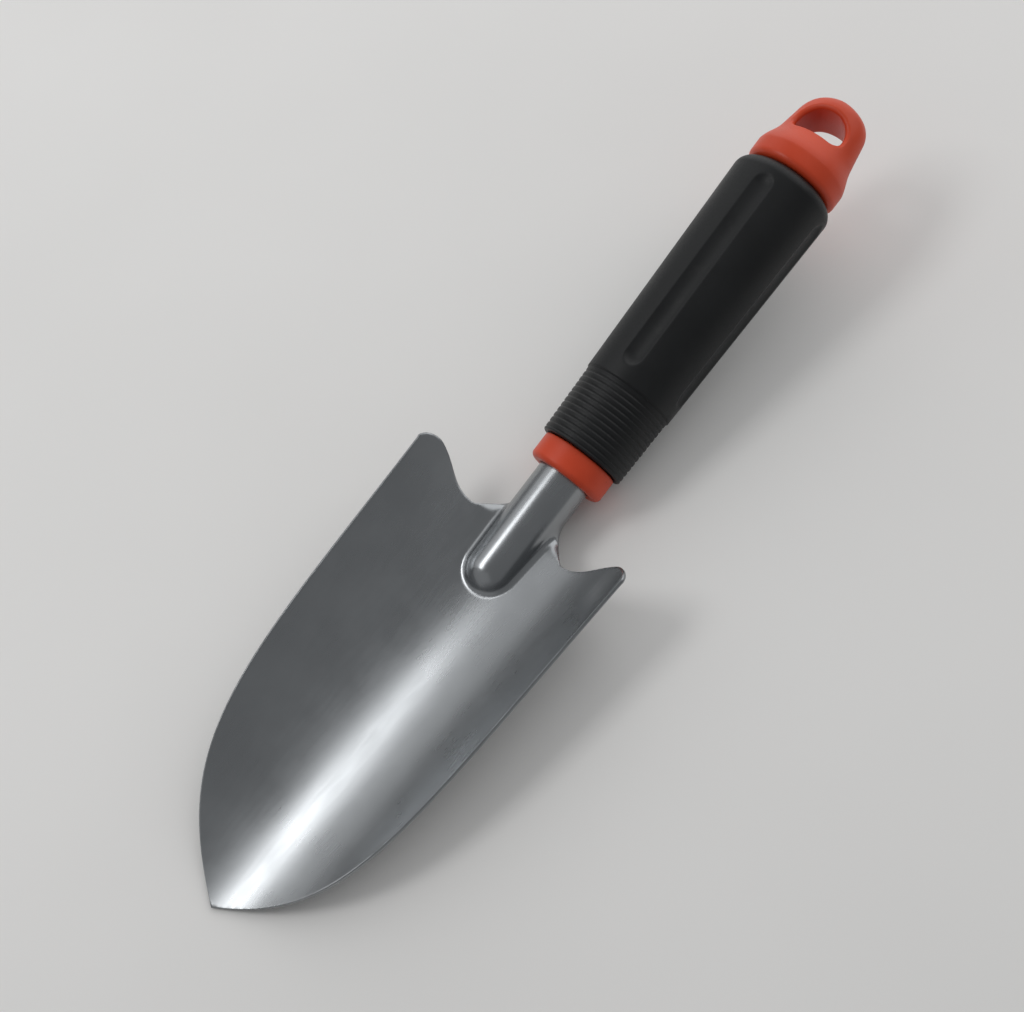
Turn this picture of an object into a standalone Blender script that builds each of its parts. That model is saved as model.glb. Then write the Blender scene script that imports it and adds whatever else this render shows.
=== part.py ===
"""Garden trowel: a one-piece pressed steel blade on a plastic handle with a hanging loop.

The tool is laid out along X, with the blade's tip at -X, the hanging loop at +X and the
hollow side of the blade up. That layout's origin is on the handle's axis, at the front face
of the collar. The finished tool is tipped until it rests on its tip and on the front of its
grip, and is centred over the ground.
"""
import math

import bmesh
import bpy
from mathutils import Matrix, Vector
from mathutils.geometry import interpolate_bezier

MM = 0.001

# Gap between pieces that touch on the real tool
FIT = 0.3 * MM

# Blade in plan
BLADE_LENGTH = 150.5 * MM
SHOULDER_HALF_WIDTH = 40.0 * MM
HORN_RADIUS = 3.8 * MM
HORN_SLANT = math.radians(28)
NOTCH_DEPTH = 9.5 * MM
NOTCH_HALF_WIDTH = 18.0 * MM
NECK_LENGTH = 12.8 * MM

# Pull of the side curve's two handles, as shares of the blade's length and half width
POINT_PULL = (0.166, 1.0)
SIDE_PULL = (0.387, 0.892)
# Pull of the handles of the curve between a notch and a shoulder, as a share of its chord
REAR_PULL = 0.4

# Blade in section
SHEET = 1.2 * MM
TROUGH_RADIUS = 55.0 * MM
HEEL_HEIGHT = -0.4 * MM
TIP_LIFT = 17.0 * MM
FLOOR_BOW = 0.8 * MM

# Neck and tang, one with the blade
NECK_RADIUS = 8.8 * MM
NECK_REACH = 13.2 * MM
NECK_FILLET = 3.2 * MM
NECK_WRAP = math.radians(112)
NOTCH_ROUND = 11.4 * MM
TANG_LENGTH = 70.0 * MM
TANG_END_RADIUS = 5.5 * MM

# Collar
COLLAR_LENGTH = 8.5 * MM
COLLAR_RADIUS = 12.85 * MM
COLLAR_EDGE = 1.8 * MM
COLLAR_REAR_EDGE = 0.5 * MM
COLLAR_LEAD_IN = 0.5 * MM
SPIGOT_LENGTH = 5.5 * MM

# Grip
GRIP_LENGTH = 106.9 * MM
GRIP_FRONT_RADIUS = 14.8 * MM
GRIP_REAR_RADIUS = 17.5 * MM
GRIP_WALL = 3.6 * MM
GRIP_FRONT_EDGE = 0.7 * MM
GRIP_REAR_EDGE = 4.2 * MM
GRIP_LIP = 2.7 * MM
RING_COUNT = 12
RING_PITCH = 1.92 * MM
RING_DEPTH = 0.36 * MM
RING_DROP = 0.3 * MM
# Start and end of a ring's crest and the bottom of the groove, as shares of the pitch
RING_CREST = (0.45, 0.85)
RING_GROOVE = 0.15
FLUTE_COUNT = 4
FLUTE_START = 29.0 * MM
FLUTE_LENGTH = 72.0 * MM
FLUTE_WIDTH = 7.8 * MM
FLUTE_DEPTH = 1.1 * MM

# Core and the pin that holds the tang in it
SOCKET_END_GAP = 2.0 * MM
PLUG_BORE_LENGTH = 24.0 * MM
PIN_RADIUS = 2.0 * MM
PIN_FROM_TANG_END = 25.0 * MM
PIN_HEIGHT = 1.5 * MM
PIN_INSET = 0.6 * MM
PIN_CHAMFER = 0.3 * MM
TONGUE_SETBACK = 0.5 * MM

# End cap: plug, rim, and a body that runs from round to oval and ends in the loop
PLUG_RADIUS = 8.0 * MM
PLUG_LENGTH = 22.0 * MM
PLUG_CHAMFER = 0.8 * MM
CAP_RADIUS = 15.9 * MM
CAP_FRONT_EDGE = 2.3 * MM
CAP_RIM_LENGTH = 6.4 * MM
CAP_LENGTH = 30.7 * MM
ROOT_HALF_WIDTH = 14.9 * MM
LOOP_HALF_WIDTH = 12.2 * MM
WIDTH_FLARE_LENGTH = 7.5 * MM
ROOT_HALF_DEPTH = 12.0 * MM
LOOP_HALF_DEPTH = 8.7 * MM
DEPTH_FLARE_LENGTH = 10.0 * MM
END_ROUND_LENGTH = 8.4 * MM
END_ROUND_POWER = 2.5
END_EDGE = 4.0 * MM

# Hanging hole through the loop, bowed a little towards the grip and arched towards the end
HOLE_FROM_CAP_FRONT = 15.0 * MM
HOLE_BOW = 0.3 * MM
STRAP = 6.2 * MM
HOLE_HALF_WIDTH = 7.8 * MM
HOLE_CORNER = 2.0 * MM
HOLE_ARCH_POWER = 2.2
HOLE_DRAFT = math.radians(3)
HOLE_EDGE = 1.3 * MM
HOLE_EDGE_LEFT = math.radians(20)

# Facets
ROUND_STEPS = 40
CAP_STEPS = 44
PIN_STEPS = 20
FLUTE_STEPS = 32
SMOOTH_ANGLE = math.radians(32)
SIDE_STEPS = 240
REAR_STEPS = 40
HORN_STEPS = 12
SECTION_STEPS = 90
TIP_ROWS = 12
TIP_CROWDING = 1.25
NOSE_ROWS = 9
HEEL_ROWS = 7
HEEL_CROWDING = 1.4
WING_COLUMNS = 11
CREST_COLUMNS = 6
CREST_TURN = math.radians(72)
FILLET_COLUMNS = 3
FLAT_COLUMNS = 3
# Reach of the fillet's columns past the neck's radius, and of the rows ahead of the nose's
# foot, in fillet radii
FILLET_COVER = 0.75
HEEL_COVER = 1.5
NECK_TURN_ROWS = 10
BODY_RINGS = 11
BODY_CROWDING = 1.4
END_RINGS = 9
WELD = 0.01 * MM
HALF_FACET = math.pi / ROUND_STEPS

# Places along the tool, from the collar's front face
SHOULDER_X = -NECK_LENGTH
TIP_X = SHOULDER_X - BLADE_LENGTH
NOTCH_X = SHOULDER_X - NOTCH_DEPTH
NOSE_X = NOTCH_X - NECK_REACH
HEEL_X = NOSE_X - NECK_RADIUS - HEEL_COVER * NECK_FILLET
GRIP_X = COLLAR_LENGTH + FIT
GRIP_END_X = GRIP_X + GRIP_LENGTH
SPIGOT_END_X = GRIP_X + SPIGOT_LENGTH
CORE_X = SPIGOT_END_X + FIT
CORE_END_X = GRIP_END_X - GRIP_LIP - FIT
CAP_X = GRIP_END_X + FIT
PIN_X = TANG_LENGTH - PIN_FROM_TANG_END
RIM_END_X = CAP_X + CAP_RIM_LENGTH
LOOP_END_X = CAP_X + CAP_LENGTH
END_ROUND_X = LOOP_END_X - END_ROUND_LENGTH
HOLE_X = CAP_X + HOLE_FROM_CAP_FRONT
HOLE_END_X = LOOP_END_X - STRAP


def spread(start, end, steps):
    """Evenly spaced values after start, up to and including end."""
    return [start + (end - start) * k / steps for k in range(1, steps + 1)]


def arc(along, radius, size, start, end, steps):
    """Points of an arc about (along, radius), with angles from the +X direction."""
    turns = [math.radians(start + (end - start) * k / steps) for k in range(steps + 1)]
    return [(along + size * math.cos(a), radius + size * math.sin(a)) for a in turns]


def at_share(points, share):
    """Point at a share of a polyline's length."""
    lengths = [(b - a).length for a, b in zip(points, points[1:])]
    left = share * sum(lengths)
    for a, b, length in zip(points, points[1:], lengths):
        if left <= length:
            return a.lerp(b, left / length)
        left -= length
    return points[-1].copy()


def pan_floor(x):
    """Height of the pan's hollow side on its centre line."""
    share = (SHOULDER_X - x) / BLADE_LENGTH
    return HEEL_HEIGHT + TIP_LIFT * share + 4 * FLOOR_BOW * share * (1 - share)


def blade_height(x, y):
    """Height of the blade's hollow side, with the neck's half round and its fillet."""
    pan = pan_floor(x) + TROUGH_RADIUS - math.sqrt(TROUGH_RADIUS ** 2 - y ** 2)
    if pan >= NECK_RADIUS:
        return pan
    away = math.hypot(min(x - NOSE_X, 0), y)
    reach = NECK_RADIUS + NECK_FILLET
    fillet_centre = math.sqrt(reach ** 2 - (pan + NECK_FILLET) ** 2)
    if away >= fillet_centre:
        return pan
    if away > NECK_RADIUS * fillet_centre / reach:
        return pan + NECK_FILLET - math.sqrt(NECK_FILLET ** 2 - (away - fillet_centre) ** 2)
    return math.sqrt(NECK_RADIUS ** 2 - away ** 2)


def horn_point(angle):
    """Point on the rounded end of a shoulder."""
    centre = Vector((SHOULDER_X - HORN_RADIUS, SHOULDER_HALF_WIDTH - HORN_RADIUS))
    return centre + HORN_RADIUS * Vector((math.cos(angle), math.sin(angle)))


def horn_middle():
    """Angle at the middle of a shoulder's rounded end."""
    return (math.pi / 2 - HORN_SLANT) / 2


def pulled(shares):
    """Offset from the tip, from shares of the blade's length and half width."""
    return Vector((shares[0] * BLADE_LENGTH, shares[1] * SHOULDER_HALF_WIDTH))


def side_edge():
    """Plan outline of one side, from the tip to the middle of the shoulder's round end."""
    tip = Vector((TIP_X, 0))
    tip_handle = tip + pulled(POINT_PULL)
    end_handle = tip + pulled(SIDE_PULL)
    shoulder = Vector((SHOULDER_X, SHOULDER_HALF_WIDTH))
    side = interpolate_bezier(tip, tip_handle, end_handle, shoulder, SIDE_STEPS)
    side = [p.xy for p in side if p.x < SHOULDER_X - HORN_RADIUS]
    turn = [math.pi / 2] + spread(math.pi / 2, horn_middle(), HORN_STEPS)
    return side + [horn_point(a) for a in turn]


def rear_edge():
    """Plan outline from the bottom of the notch to the middle of the shoulder's round end."""
    notch = Vector((NOTCH_X, NOTCH_HALF_WIDTH))
    end = horn_point(-HORN_SLANT)
    pull = REAR_PULL * (end - notch).length
    slant = Vector((math.sin(HORN_SLANT), math.cos(HORN_SLANT)))
    start_handle = notch + Vector((0, pull))
    edge = interpolate_bezier(notch, start_handle, end - pull * slant, end, REAR_STEPS)
    turn = spread(-HORN_SLANT, horn_middle(), HORN_STEPS)
    return [p.xy for p in edge] + [horn_point(a) for a in turn]


def half_width(side, x):
    """Half width of the pan at a station in front of the shoulders."""
    for a, b in zip(side, side[1:]):
        if a.x <= x <= b.x:
            return a.y + (b.y - a.y) * (x - a.x) / (b.x - a.x)
    return side[0].y if x < side[0].x else side[-1].y


def strip_columns():
    """Distances from the centre line of the lines of points that run into the neck."""
    turns = [0] + spread(0, CREST_TURN, CREST_COLUMNS)
    crest = [NECK_RADIUS * math.sin(turn) for turn in turns]
    foot = NECK_RADIUS + FILLET_COVER * NECK_FILLET
    fillet = spread(crest[-1], foot, FILLET_COLUMNS)
    return crest + fillet + spread(foot, NOTCH_HALF_WIDTH, FLAT_COLUMNS)


def pan_rows():
    """Stations of the pan from the tip to the bottom of the notches, closest round the nose."""
    front = [(k / TIP_ROWS) ** TIP_CROWDING for k in range(TIP_ROWS + 1)]
    heel = [(1 - k / HEEL_ROWS) ** HEEL_CROWDING for k in range(1, HEEL_ROWS + 1)]
    rows = [TIP_X + (HEEL_X - TIP_X) * share for share in front]
    rows += spread(HEEL_X, NOSE_X, NOSE_ROWS)
    return rows + [NOTCH_X - (NOTCH_X - NOSE_X) * share for share in heel]


def pan_points():
    """Plan points of half the pan, row by row from the tip and from the centre line outwards."""
    side, rear = side_edge(), rear_edge()
    full = half_width(side, HEEL_X)
    wing = spread(0, 1, WING_COLUMNS)
    heel_side = [p for p in side if p.x > HEEL_X or p is side[-1]]
    heel_side.insert(0, Vector((HEEL_X, full)))
    rows = []
    for x in pan_rows():
        shrink = min(1, half_width(side, x) / full)
        row = [Vector((x, y * shrink)) for y in strip_columns()]
        inner = row[-1]
        if x <= HEEL_X:
            row += [Vector((x, inner.y + (half_width(side, x) - inner.y) * v)) for v in wing]
        else:
            u = (x - HEEL_X) / (NOTCH_X - HEEL_X)
            outer = at_share(heel_side, u)
            row += [heel_patch(u, v, inner, outer, rear, full) for v in wing]
        rows.append(row)
    return rows


def heel_patch(u, v, inner, outer, rear, full):
    """Blend of the four edges of the wing between the heel line and the shoulder."""
    front = Vector((HEEL_X, NOTCH_HALF_WIDTH + (full - NOTCH_HALF_WIDTH) * v))
    across = inner.lerp(outer, v)
    along = front.lerp(at_share(rear, v), u)
    corner_front = Vector((HEEL_X, NOTCH_HALF_WIDTH)).lerp(Vector((HEEL_X, full)), v)
    corner_rear = rear[0].lerp(rear[-1], v)
    return across + along - corner_front.lerp(corner_rear, u)


def neck_section(x):
    """Section of the pressed neck from the crest outwards, as (y, z) points."""
    widths = [0] + spread(0, NOTCH_HALF_WIDTH, SECTION_STEPS)
    return [Vector((y, blade_height(x, y))) for y in widths]


def tube_point(girth, radius):
    """Point at a girth from the crest of a tube about the handle's axis."""
    return Vector((radius * math.sin(girth / radius), radius * math.cos(girth / radius)))


def tang_radius(x):
    """Outer radius of the neck and tang behind the notches."""
    share = max(0, (x - CORE_X) / (TANG_LENGTH - CORE_X))
    return NECK_RADIUS + (TANG_END_RADIUS - NECK_RADIUS) * share


def polyline_girths(points):
    """Running length at each point of a polyline."""
    girths = [0]
    for a, b in zip(points, points[1:]):
        girths.append(girths[-1] + (b - a).length)
    return girths


def neck_rows():
    """Points of half the neck and tang, from behind the notches to the tang's end."""
    heel = [Vector((y, blade_height(NOTCH_X, y))) for y in strip_columns()]
    girths = polyline_girths(heel)
    wrapped = NECK_RADIUS * NECK_WRAP
    turn_end = NOTCH_X + NOTCH_ROUND
    rows = []
    for angle in spread(0, math.pi / 2, NECK_TURN_ROWS):
        share = 1 - math.cos(angle)
        x = NOTCH_X + (turn_end - NOTCH_X) * share
        edge = wrapped + (girths[-1] - wrapped) * (1 - math.sin(angle))
        section = neck_section(x)
        length = polyline_girths(section)[-1]
        blend = share * share * (3 - 2 * share)
        row = []
        for girth in girths:
            reach = girth * edge / girths[-1]
            flared = at_share(section, min(1, reach / length))
            p = flared.lerp(tube_point(reach, NECK_RADIUS), blend)
            row.append(Vector((x, p.x, p.y)))
        rows.append(row)
    for x in [turn_end / 2, 0, CORE_X] + spread(CORE_X, TANG_LENGTH, 3):
        radius = tang_radius(x)
        row = [tube_point(g / girths[-1] * NECK_WRAP * radius, radius) for g in girths]
        rows.append([Vector((x, p.x, p.y)) for p in row])
    return rows


def material(name, colour, roughness, metallic):
    """Plain shader in one colour."""
    made = bpy.data.materials.new(name)
    made.use_nodes = True
    shader = made.node_tree.nodes["Principled BSDF"]
    shader.inputs["Base Color"].default_value = (*colour, 1)
    shader.inputs["Roughness"].default_value = roughness
    shader.inputs["Metallic"].default_value = metallic
    made.diffuse_color = (*colour, 1)
    return made


def add_object(name, data, collection, rest):
    """New object in a collection, carried by the rest frame."""
    made = bpy.data.objects.new(name, data)
    collection.objects.link(made)
    made.parent = rest
    return made


def cutter(name, data, cutters, rest):
    """Object that only cuts others."""
    made = add_object(name, data, cutters, rest)
    made.hide_render = True
    made.display_type = "WIRE"
    return made


def combine(target, tool, operation):
    """Exact Boolean between two closed solids."""
    step = target.modifiers.new(operation.title(), "BOOLEAN")
    step.operation = operation
    step.solver = "EXACT"
    step.object = tool


def bake(target):
    """Replaces an object's mesh by its modified mesh, shaded smooth up to its sharp edges."""
    bpy.context.view_layer.update()
    evaluated = target.evaluated_get(bpy.context.evaluated_depsgraph_get())
    mesh = bpy.data.meshes.new_from_object(evaluated)
    mesh.shade_smooth()
    mesh.set_sharp_from_angle(angle=SMOOTH_ANGLE)
    paint = target.data.materials[0]
    target.modifiers.clear()
    target.data = mesh
    mesh.materials.clear()
    mesh.materials.append(paint)


def loft_mesh(name, rings):
    """Closed solid through rings of points. A ring may shrink to a line or a point."""
    made = bmesh.new()
    grid = [[made.verts.new(p) for p in ring] for ring in rings]
    count = len(grid[0])
    for near, far in zip(grid, grid[1:]):
        for k in range(count):
            m = (k + 1) % count
            made.faces.new((near[k], near[m], far[m], far[k]))
    bmesh.ops.remove_doubles(made, verts=made.verts, dist=WELD)
    bmesh.ops.holes_fill(made, edges=[e for e in made.edges if e.is_boundary])
    bmesh.ops.recalc_face_normals(made, faces=made.faces)
    mesh = bpy.data.meshes.new(name)
    made.to_mesh(mesh)
    made.free()
    return mesh


def oval(along, half_width, half_depth, steps):
    """Ring of points across the tool."""
    turns = [2 * math.pi * k / steps for k in range(steps)]
    return [Vector((along, half_width * math.cos(a), half_depth * math.sin(a))) for a in turns]


def cross_hole(name, length, target, cutters, rest):
    """Hole across a piece for the pin."""
    radius = PIN_RADIUS + FIT
    rings = [oval(x, radius, radius, PIN_STEPS) for x in (-length / 2, length / 2)]
    hole = cutter(name, loft_mesh(name, rings), cutters, rest)
    hole.location = (PIN_X, 0, PIN_HEIGHT)
    hole.rotation_euler = (0, 0, math.pi / 2)
    combine(target, hole, "DIFFERENCE")


def turned(name, profile, paint, parts, rest, closed):
    """Solid of revolution about the tool's axis, from (along, radius) points.

    A facet lies straight below the axis, and another straight above it.
    """
    mesh = bpy.data.meshes.new(name)
    out, aside = math.cos(HALF_FACET), math.sin(HALF_FACET)
    verts = [(radius * out, radius * aside, along) for along, radius in profile]
    edges = [(k, k + 1) for k in range(len(profile) - 1)]
    if closed:
        edges.append((len(profile) - 1, 0))
    mesh.from_pydata(verts, edges, [])
    mesh.materials.append(paint)
    made = add_object(name, mesh, parts, rest)
    made.rotation_euler = (0, math.pi / 2, 0)
    screw = made.modifiers.new("Screw", "SCREW")
    screw.steps = ROUND_STEPS
    screw.render_steps = ROUND_STEPS
    screw.use_merge_vertices = True
    screw.merge_threshold = WELD
    return made


def grip_radius(x):
    """Outer radius of the grip's plain part."""
    share = (x - GRIP_X) / GRIP_LENGTH
    return GRIP_FRONT_RADIUS + (GRIP_REAR_RADIUS - GRIP_FRONT_RADIUS) * share


def grip_bore(x):
    """Inner radius of the grip."""
    return grip_radius(x) - GRIP_WALL


def make_blade(paint, parts, cutters, rest):
    """Pan, neck and tang as one sheet of even thickness."""
    pan = [[Vector((p.x, p.y, blade_height(p.x, p.y))) for p in row] for row in pan_points()]
    rows = pan + neck_rows()
    sheet = bmesh.new()
    grid = [[sheet.verts.new(p) for p in row] for row in rows]
    for near, far in zip(grid, grid[1:]):
        for k in range(min(len(near), len(far)) - 1):
            sheet.faces.new((near[k], far[k], far[k + 1], near[k + 1]))
    bmesh.ops.remove_doubles(sheet, verts=sheet.verts, dist=WELD)
    bmesh.ops.recalc_face_normals(sheet, faces=sheet.faces)
    sheet.faces.ensure_lookup_table()
    if sheet.faces[len(strip_columns())].normal.z < 0:
        bmesh.ops.reverse_faces(sheet, faces=sheet.faces)
    mesh = bpy.data.meshes.new("blade")
    sheet.to_mesh(mesh)
    sheet.free()
    mesh.materials.append(paint)
    blade = add_object("blade", mesh, parts, rest)
    mirror = blade.modifiers.new("Mirror", "MIRROR")
    mirror.use_axis = (False, True, False)
    mirror.merge_threshold = WELD
    solidify = blade.modifiers.new("Solidify", "SOLIDIFY")
    solidify.thickness = SHEET
    solidify.offset = -1
    cross_hole("tang_hole", 4 * NECK_RADIUS, blade, cutters, rest)
    bake(blade)
    return blade


def make_pin(paint, parts, rest):
    """Cross pin through the core and the tang, just short of the core's surface."""
    core = grip_bore(PIN_X) - FIT
    end = math.sqrt(core ** 2 - PIN_HEIGHT ** 2) - PIN_INSET
    small = PIN_RADIUS - PIN_CHAMFER
    flat = end - PIN_CHAMFER
    stations = [(-end, small), (-flat, PIN_RADIUS), (flat, PIN_RADIUS), (end, small)]
    rings = [oval(x, radius, radius, PIN_STEPS) for x, radius in stations]
    pin = add_object("tang_pin", loft_mesh("tang_pin", rings), parts, rest)
    pin.data.materials.append(paint)
    pin.location = (PIN_X, 0, PIN_HEIGHT)
    pin.rotation_euler = (0, 0, math.pi / 2)
    bake(pin)
    return pin


def make_collar(paint, parts, rest):
    """Ring round the neck, with a spigot that centres the grip's front end."""
    bore = NECK_RADIUS + FIT
    spigot = grip_bore(GRIP_X) - FIT
    front = arc(COLLAR_EDGE, COLLAR_RADIUS - COLLAR_EDGE, COLLAR_EDGE, 90, 180, 5)
    rear_x = COLLAR_LENGTH - COLLAR_REAR_EDGE
    rear = arc(rear_x, COLLAR_RADIUS - COLLAR_REAR_EDGE, COLLAR_REAR_EDGE, 0, 90, 3)
    profile = [(SPIGOT_END_X, bore), (SPIGOT_END_X, spigot), (COLLAR_LENGTH, spigot)]
    profile += rear + front + [(0, bore + COLLAR_LEAD_IN), (COLLAR_LEAD_IN, bore)]
    collar = turned("front_collar", profile, paint, parts, rest, closed=True)
    bake(collar)
    return collar


def make_core(paint, parts, cutters, rest):
    """Hard core, with the cap's bore behind and the tang's socket in front.

    The socket is a tapered slot round a tongue, which fills the tang's hollow side.
    """
    socket_end = TANG_LENGTH + SOCKET_END_GAP
    outer, inner = FIT, -SHEET - FIT
    plug_start = CORE_END_X - PLUG_BORE_LENGTH
    plug_bore = PLUG_RADIUS + FIT
    profile = [
        (plug_start, 0),
        (plug_start, plug_bore),
        (CORE_END_X, plug_bore),
        (CORE_END_X, grip_bore(CORE_END_X) - FIT),
        (CORE_X, grip_bore(CORE_X) - FIT),
        (CORE_X, tang_radius(CORE_X) + outer),
        (socket_end, tang_radius(socket_end) + outer),
        (socket_end, tang_radius(socket_end) + inner),
        (CORE_X, tang_radius(CORE_X) + inner),
        (TONGUE_SETBACK, tang_radius(CORE_X) + inner),
        (TONGUE_SETBACK, 0),
    ]
    core = turned("handle_core", profile, paint, parts, rest, closed=False)
    cross_hole("core_hole", 4 * GRIP_REAR_RADIUS, core, cutters, rest)
    bake(core)
    return core


def grip_profile():
    """Half section of the grip: bore, lip, round rear end, plain part, rings, front edge."""
    lip_x = GRIP_END_X - GRIP_LIP
    lip_radius = PLUG_RADIUS + FIT
    rear_x = GRIP_END_X - GRIP_REAR_EDGE
    rings_x = GRIP_X + GRIP_FRONT_EDGE
    rings_end = rings_x + RING_COUNT * RING_PITCH
    bore = [(GRIP_X, grip_bore(GRIP_X)), (lip_x, grip_bore(lip_x))]
    bore += [(lip_x, lip_radius), (GRIP_END_X, lip_radius)]
    rear = arc(rear_x, grip_radius(rear_x) - GRIP_REAR_EDGE, GRIP_REAR_EDGE, 0, 90, 6)
    plain = grip_radius(rings_end)
    step = [(rings_end + RING_DROP, plain), (rings_end, plain - RING_DROP)]
    rings = []
    for k in reversed(range(RING_COUNT)):
        start = rings_x + k * RING_PITCH
        crest = grip_radius(start) - RING_DROP
        rings.append((start + RING_CREST[1] * RING_PITCH, crest))
        rings.append((start + RING_CREST[0] * RING_PITCH, crest))
        rings.append((start + RING_GROOVE * RING_PITCH, crest - RING_DEPTH))
    edge_radius = grip_radius(GRIP_X) - RING_DROP - GRIP_FRONT_EDGE
    front = arc(rings_x, edge_radius, GRIP_FRONT_EDGE, 90, 180, 3)
    return bore + rear + step + rings + front


def capsule_rings(radius, length):
    """Rings of a round bar with half-ball ends, so many long between the ball centres."""
    front = arc(-length / 2, 0, radius, 180, 90, 8)
    rear = arc(length / 2, 0, radius, 90, 0, 8)
    return [oval(x, size, size, FLUTE_STEPS) for x, size in front + rear]


def make_grip(paint, parts, cutters, rest):
    """Soft sleeve with rings round its front end and flutes along its plain part."""
    grip = turned("grip_sleeve", grip_profile(), paint, parts, rest, closed=True)
    half = FLUTE_WIDTH / 2
    tool_radius = (half ** 2 + FLUTE_DEPTH ** 2) / (2 * FLUTE_DEPTH)
    middle = GRIP_X + FLUTE_START + FLUTE_LENGTH / 2
    height = grip_radius(middle) - FLUTE_DEPTH + tool_radius
    taper = math.atan((GRIP_REAR_RADIUS - GRIP_FRONT_RADIUS) / GRIP_LENGTH)
    shape = loft_mesh("flute_cut", capsule_rings(tool_radius, FLUTE_LENGTH - FLUTE_WIDTH))
    for k in range(FLUTE_COUNT):
        tool = cutter(f"flute_cut_{k + 1}", shape, cutters, rest)
        place = Matrix.Translation((middle, 0, height)) @ Matrix.Rotation(-taper, 4, "Y")
        tool.matrix_basis = Matrix.Rotation(2 * math.pi * k / FLUTE_COUNT, 4, "X") @ place
        combine(grip, tool, "DIFFERENCE")
    bake(grip)
    return grip


def flared(x, root, end, flare_length):
    """Half size of the cap's body: a straight taper, with a flare where it leaves the rim."""
    share = (x - RIM_END_X) / (END_ROUND_X - RIM_END_X)
    left = max(0, 1 - (x - RIM_END_X) / flare_length)
    return root + (end - root) * share + (CAP_RADIUS - root) * left * left * (3 - 2 * left)


def body_half_width(x):
    """Half width of the cap's body, rounded in plan at the end of the loop."""
    straight = flared(x, ROOT_HALF_WIDTH, LOOP_HALF_WIDTH, WIDTH_FLARE_LENGTH)
    past = min(1, max(0, (x - END_ROUND_X) / END_ROUND_LENGTH))
    return straight * (1 - past ** END_ROUND_POWER) ** (1 / END_ROUND_POWER)


def body_half_depth(x):
    """Half depth of the cap's body, rounded in side view at the end of the loop."""
    straight = flared(x, ROOT_HALF_DEPTH, LOOP_HALF_DEPTH, DEPTH_FLARE_LENGTH)
    past = min(END_EDGE, max(0, x - (LOOP_END_X - END_EDGE)))
    return straight - END_EDGE + math.sqrt(END_EDGE ** 2 - past ** 2)


def body_height(x, y):
    """Height of the body's surface above the plane through the tool's axis."""
    return body_half_depth(x) * math.sqrt(1 - (y / body_half_width(x)) ** 2)


def cap_rings():
    """Rings of the cap from the plug's front end to the end of the loop."""
    plug_start = CAP_X - PLUG_LENGTH
    edge_x = CAP_X + CAP_FRONT_EDGE
    circles = [(plug_start, PLUG_RADIUS - PLUG_CHAMFER), (plug_start + PLUG_CHAMFER, PLUG_RADIUS)]
    circles.append((CAP_X, PLUG_RADIUS))
    circles += arc(edge_x, CAP_RADIUS - CAP_FRONT_EDGE, CAP_FRONT_EDGE, 180, 90, 4)
    rings = [oval(x, radius, radius, CAP_STEPS) for x, radius in circles]
    shares = [(k / BODY_RINGS) ** BODY_CROWDING for k in range(BODY_RINGS + 1)]
    stations = [RIM_END_X + (END_ROUND_X - RIM_END_X) * share for share in shares]
    turns = spread(0, math.pi / 2, END_RINGS)
    stations += [END_ROUND_X + END_ROUND_LENGTH * math.sin(turn) for turn in turns]
    return rings + [oval(x, body_half_width(x), body_half_depth(x), CAP_STEPS) for x in stations]


def hole_outline():
    """Plan of the hole halfway through the loop, all the way round from its front side."""
    corner_y = HOLE_HALF_WIDTH - HOLE_CORNER
    shares = [k / 4 for k in range(4)]
    half = [Vector((HOLE_X + HOLE_BOW * (1 - v * v), corner_y * v)) for v in shares]
    half += [Vector(p) for p in arc(HOLE_X + HOLE_CORNER, corner_y, HOLE_CORNER, 180, 90, 4)]
    start = HOLE_X + HOLE_CORNER
    power = 2 / HOLE_ARCH_POWER
    for turn in spread(0, math.pi / 2, 10):
        x = start + (HOLE_END_X - start) * math.sin(turn) ** power
        half.append(Vector((x, HOLE_HALF_WIDTH * max(0, math.cos(turn)) ** power)))
    return half + [Vector((p.x, -p.y)) for p in reversed(half[1:-1])]


def edge_profile(point, outwards, lean):
    """Path from the hole's wall over its rounded edge and clear of the body.

    Steps are (outwards, up) from the outline. The rounding touches the leaning wall and the
    plane that the body's surface lies in there, and stops short of that plane.
    """
    near = point + outwards * HOLE_EDGE / 2
    far = point + outwards * HOLE_EDGE
    height = body_height(*near)
    fall = math.atan2(height - body_height(*far), HOLE_EDGE / 2)
    reach = HOLE_EDGE / 2 * math.sin(fall) + height * math.cos(fall) - HOLE_EDGE
    across = math.cos(lean - fall)
    middle_out = (HOLE_EDGE * math.cos(fall) + reach * math.sin(lean)) / across
    middle_up = (reach * math.cos(lean) - HOLE_EDGE * math.sin(fall)) / across
    last = math.pi / 2 + fall - HOLE_EDGE_LEFT
    path = []
    for turn in [lean] + spread(lean, last, 4):
        out = middle_out - HOLE_EDGE * math.cos(turn)
        path.append((out, middle_up + HOLE_EDGE * math.sin(turn)))
    out = path[-1][0] + HOLE_EDGE * math.sin(last)
    path.append((out, path[-1][1] + HOLE_EDGE * math.cos(last)))
    path.append((out, CAP_RADIUS))
    return path


def hole_rings():
    """Rings of the tool that cuts the hole, from below the loop to above it."""
    outline = hole_outline()
    columns = []
    for k, point in enumerate(outline):
        along = outline[(k + 1) % len(outline)] - outline[k - 1]
        outwards = Vector((-along.y, along.x)).normalized()
        below = edge_profile(point, outwards, -HOLE_DRAFT)
        above = edge_profile(point, outwards, HOLE_DRAFT)
        path = [(out, -up) for out, up in reversed(below)] + above
        places = [(point + outwards * out, up) for out, up in path]
        columns.append([Vector((place.x, place.y, up)) for place, up in places])
    return [list(ring) for ring in zip(*columns)]


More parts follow.
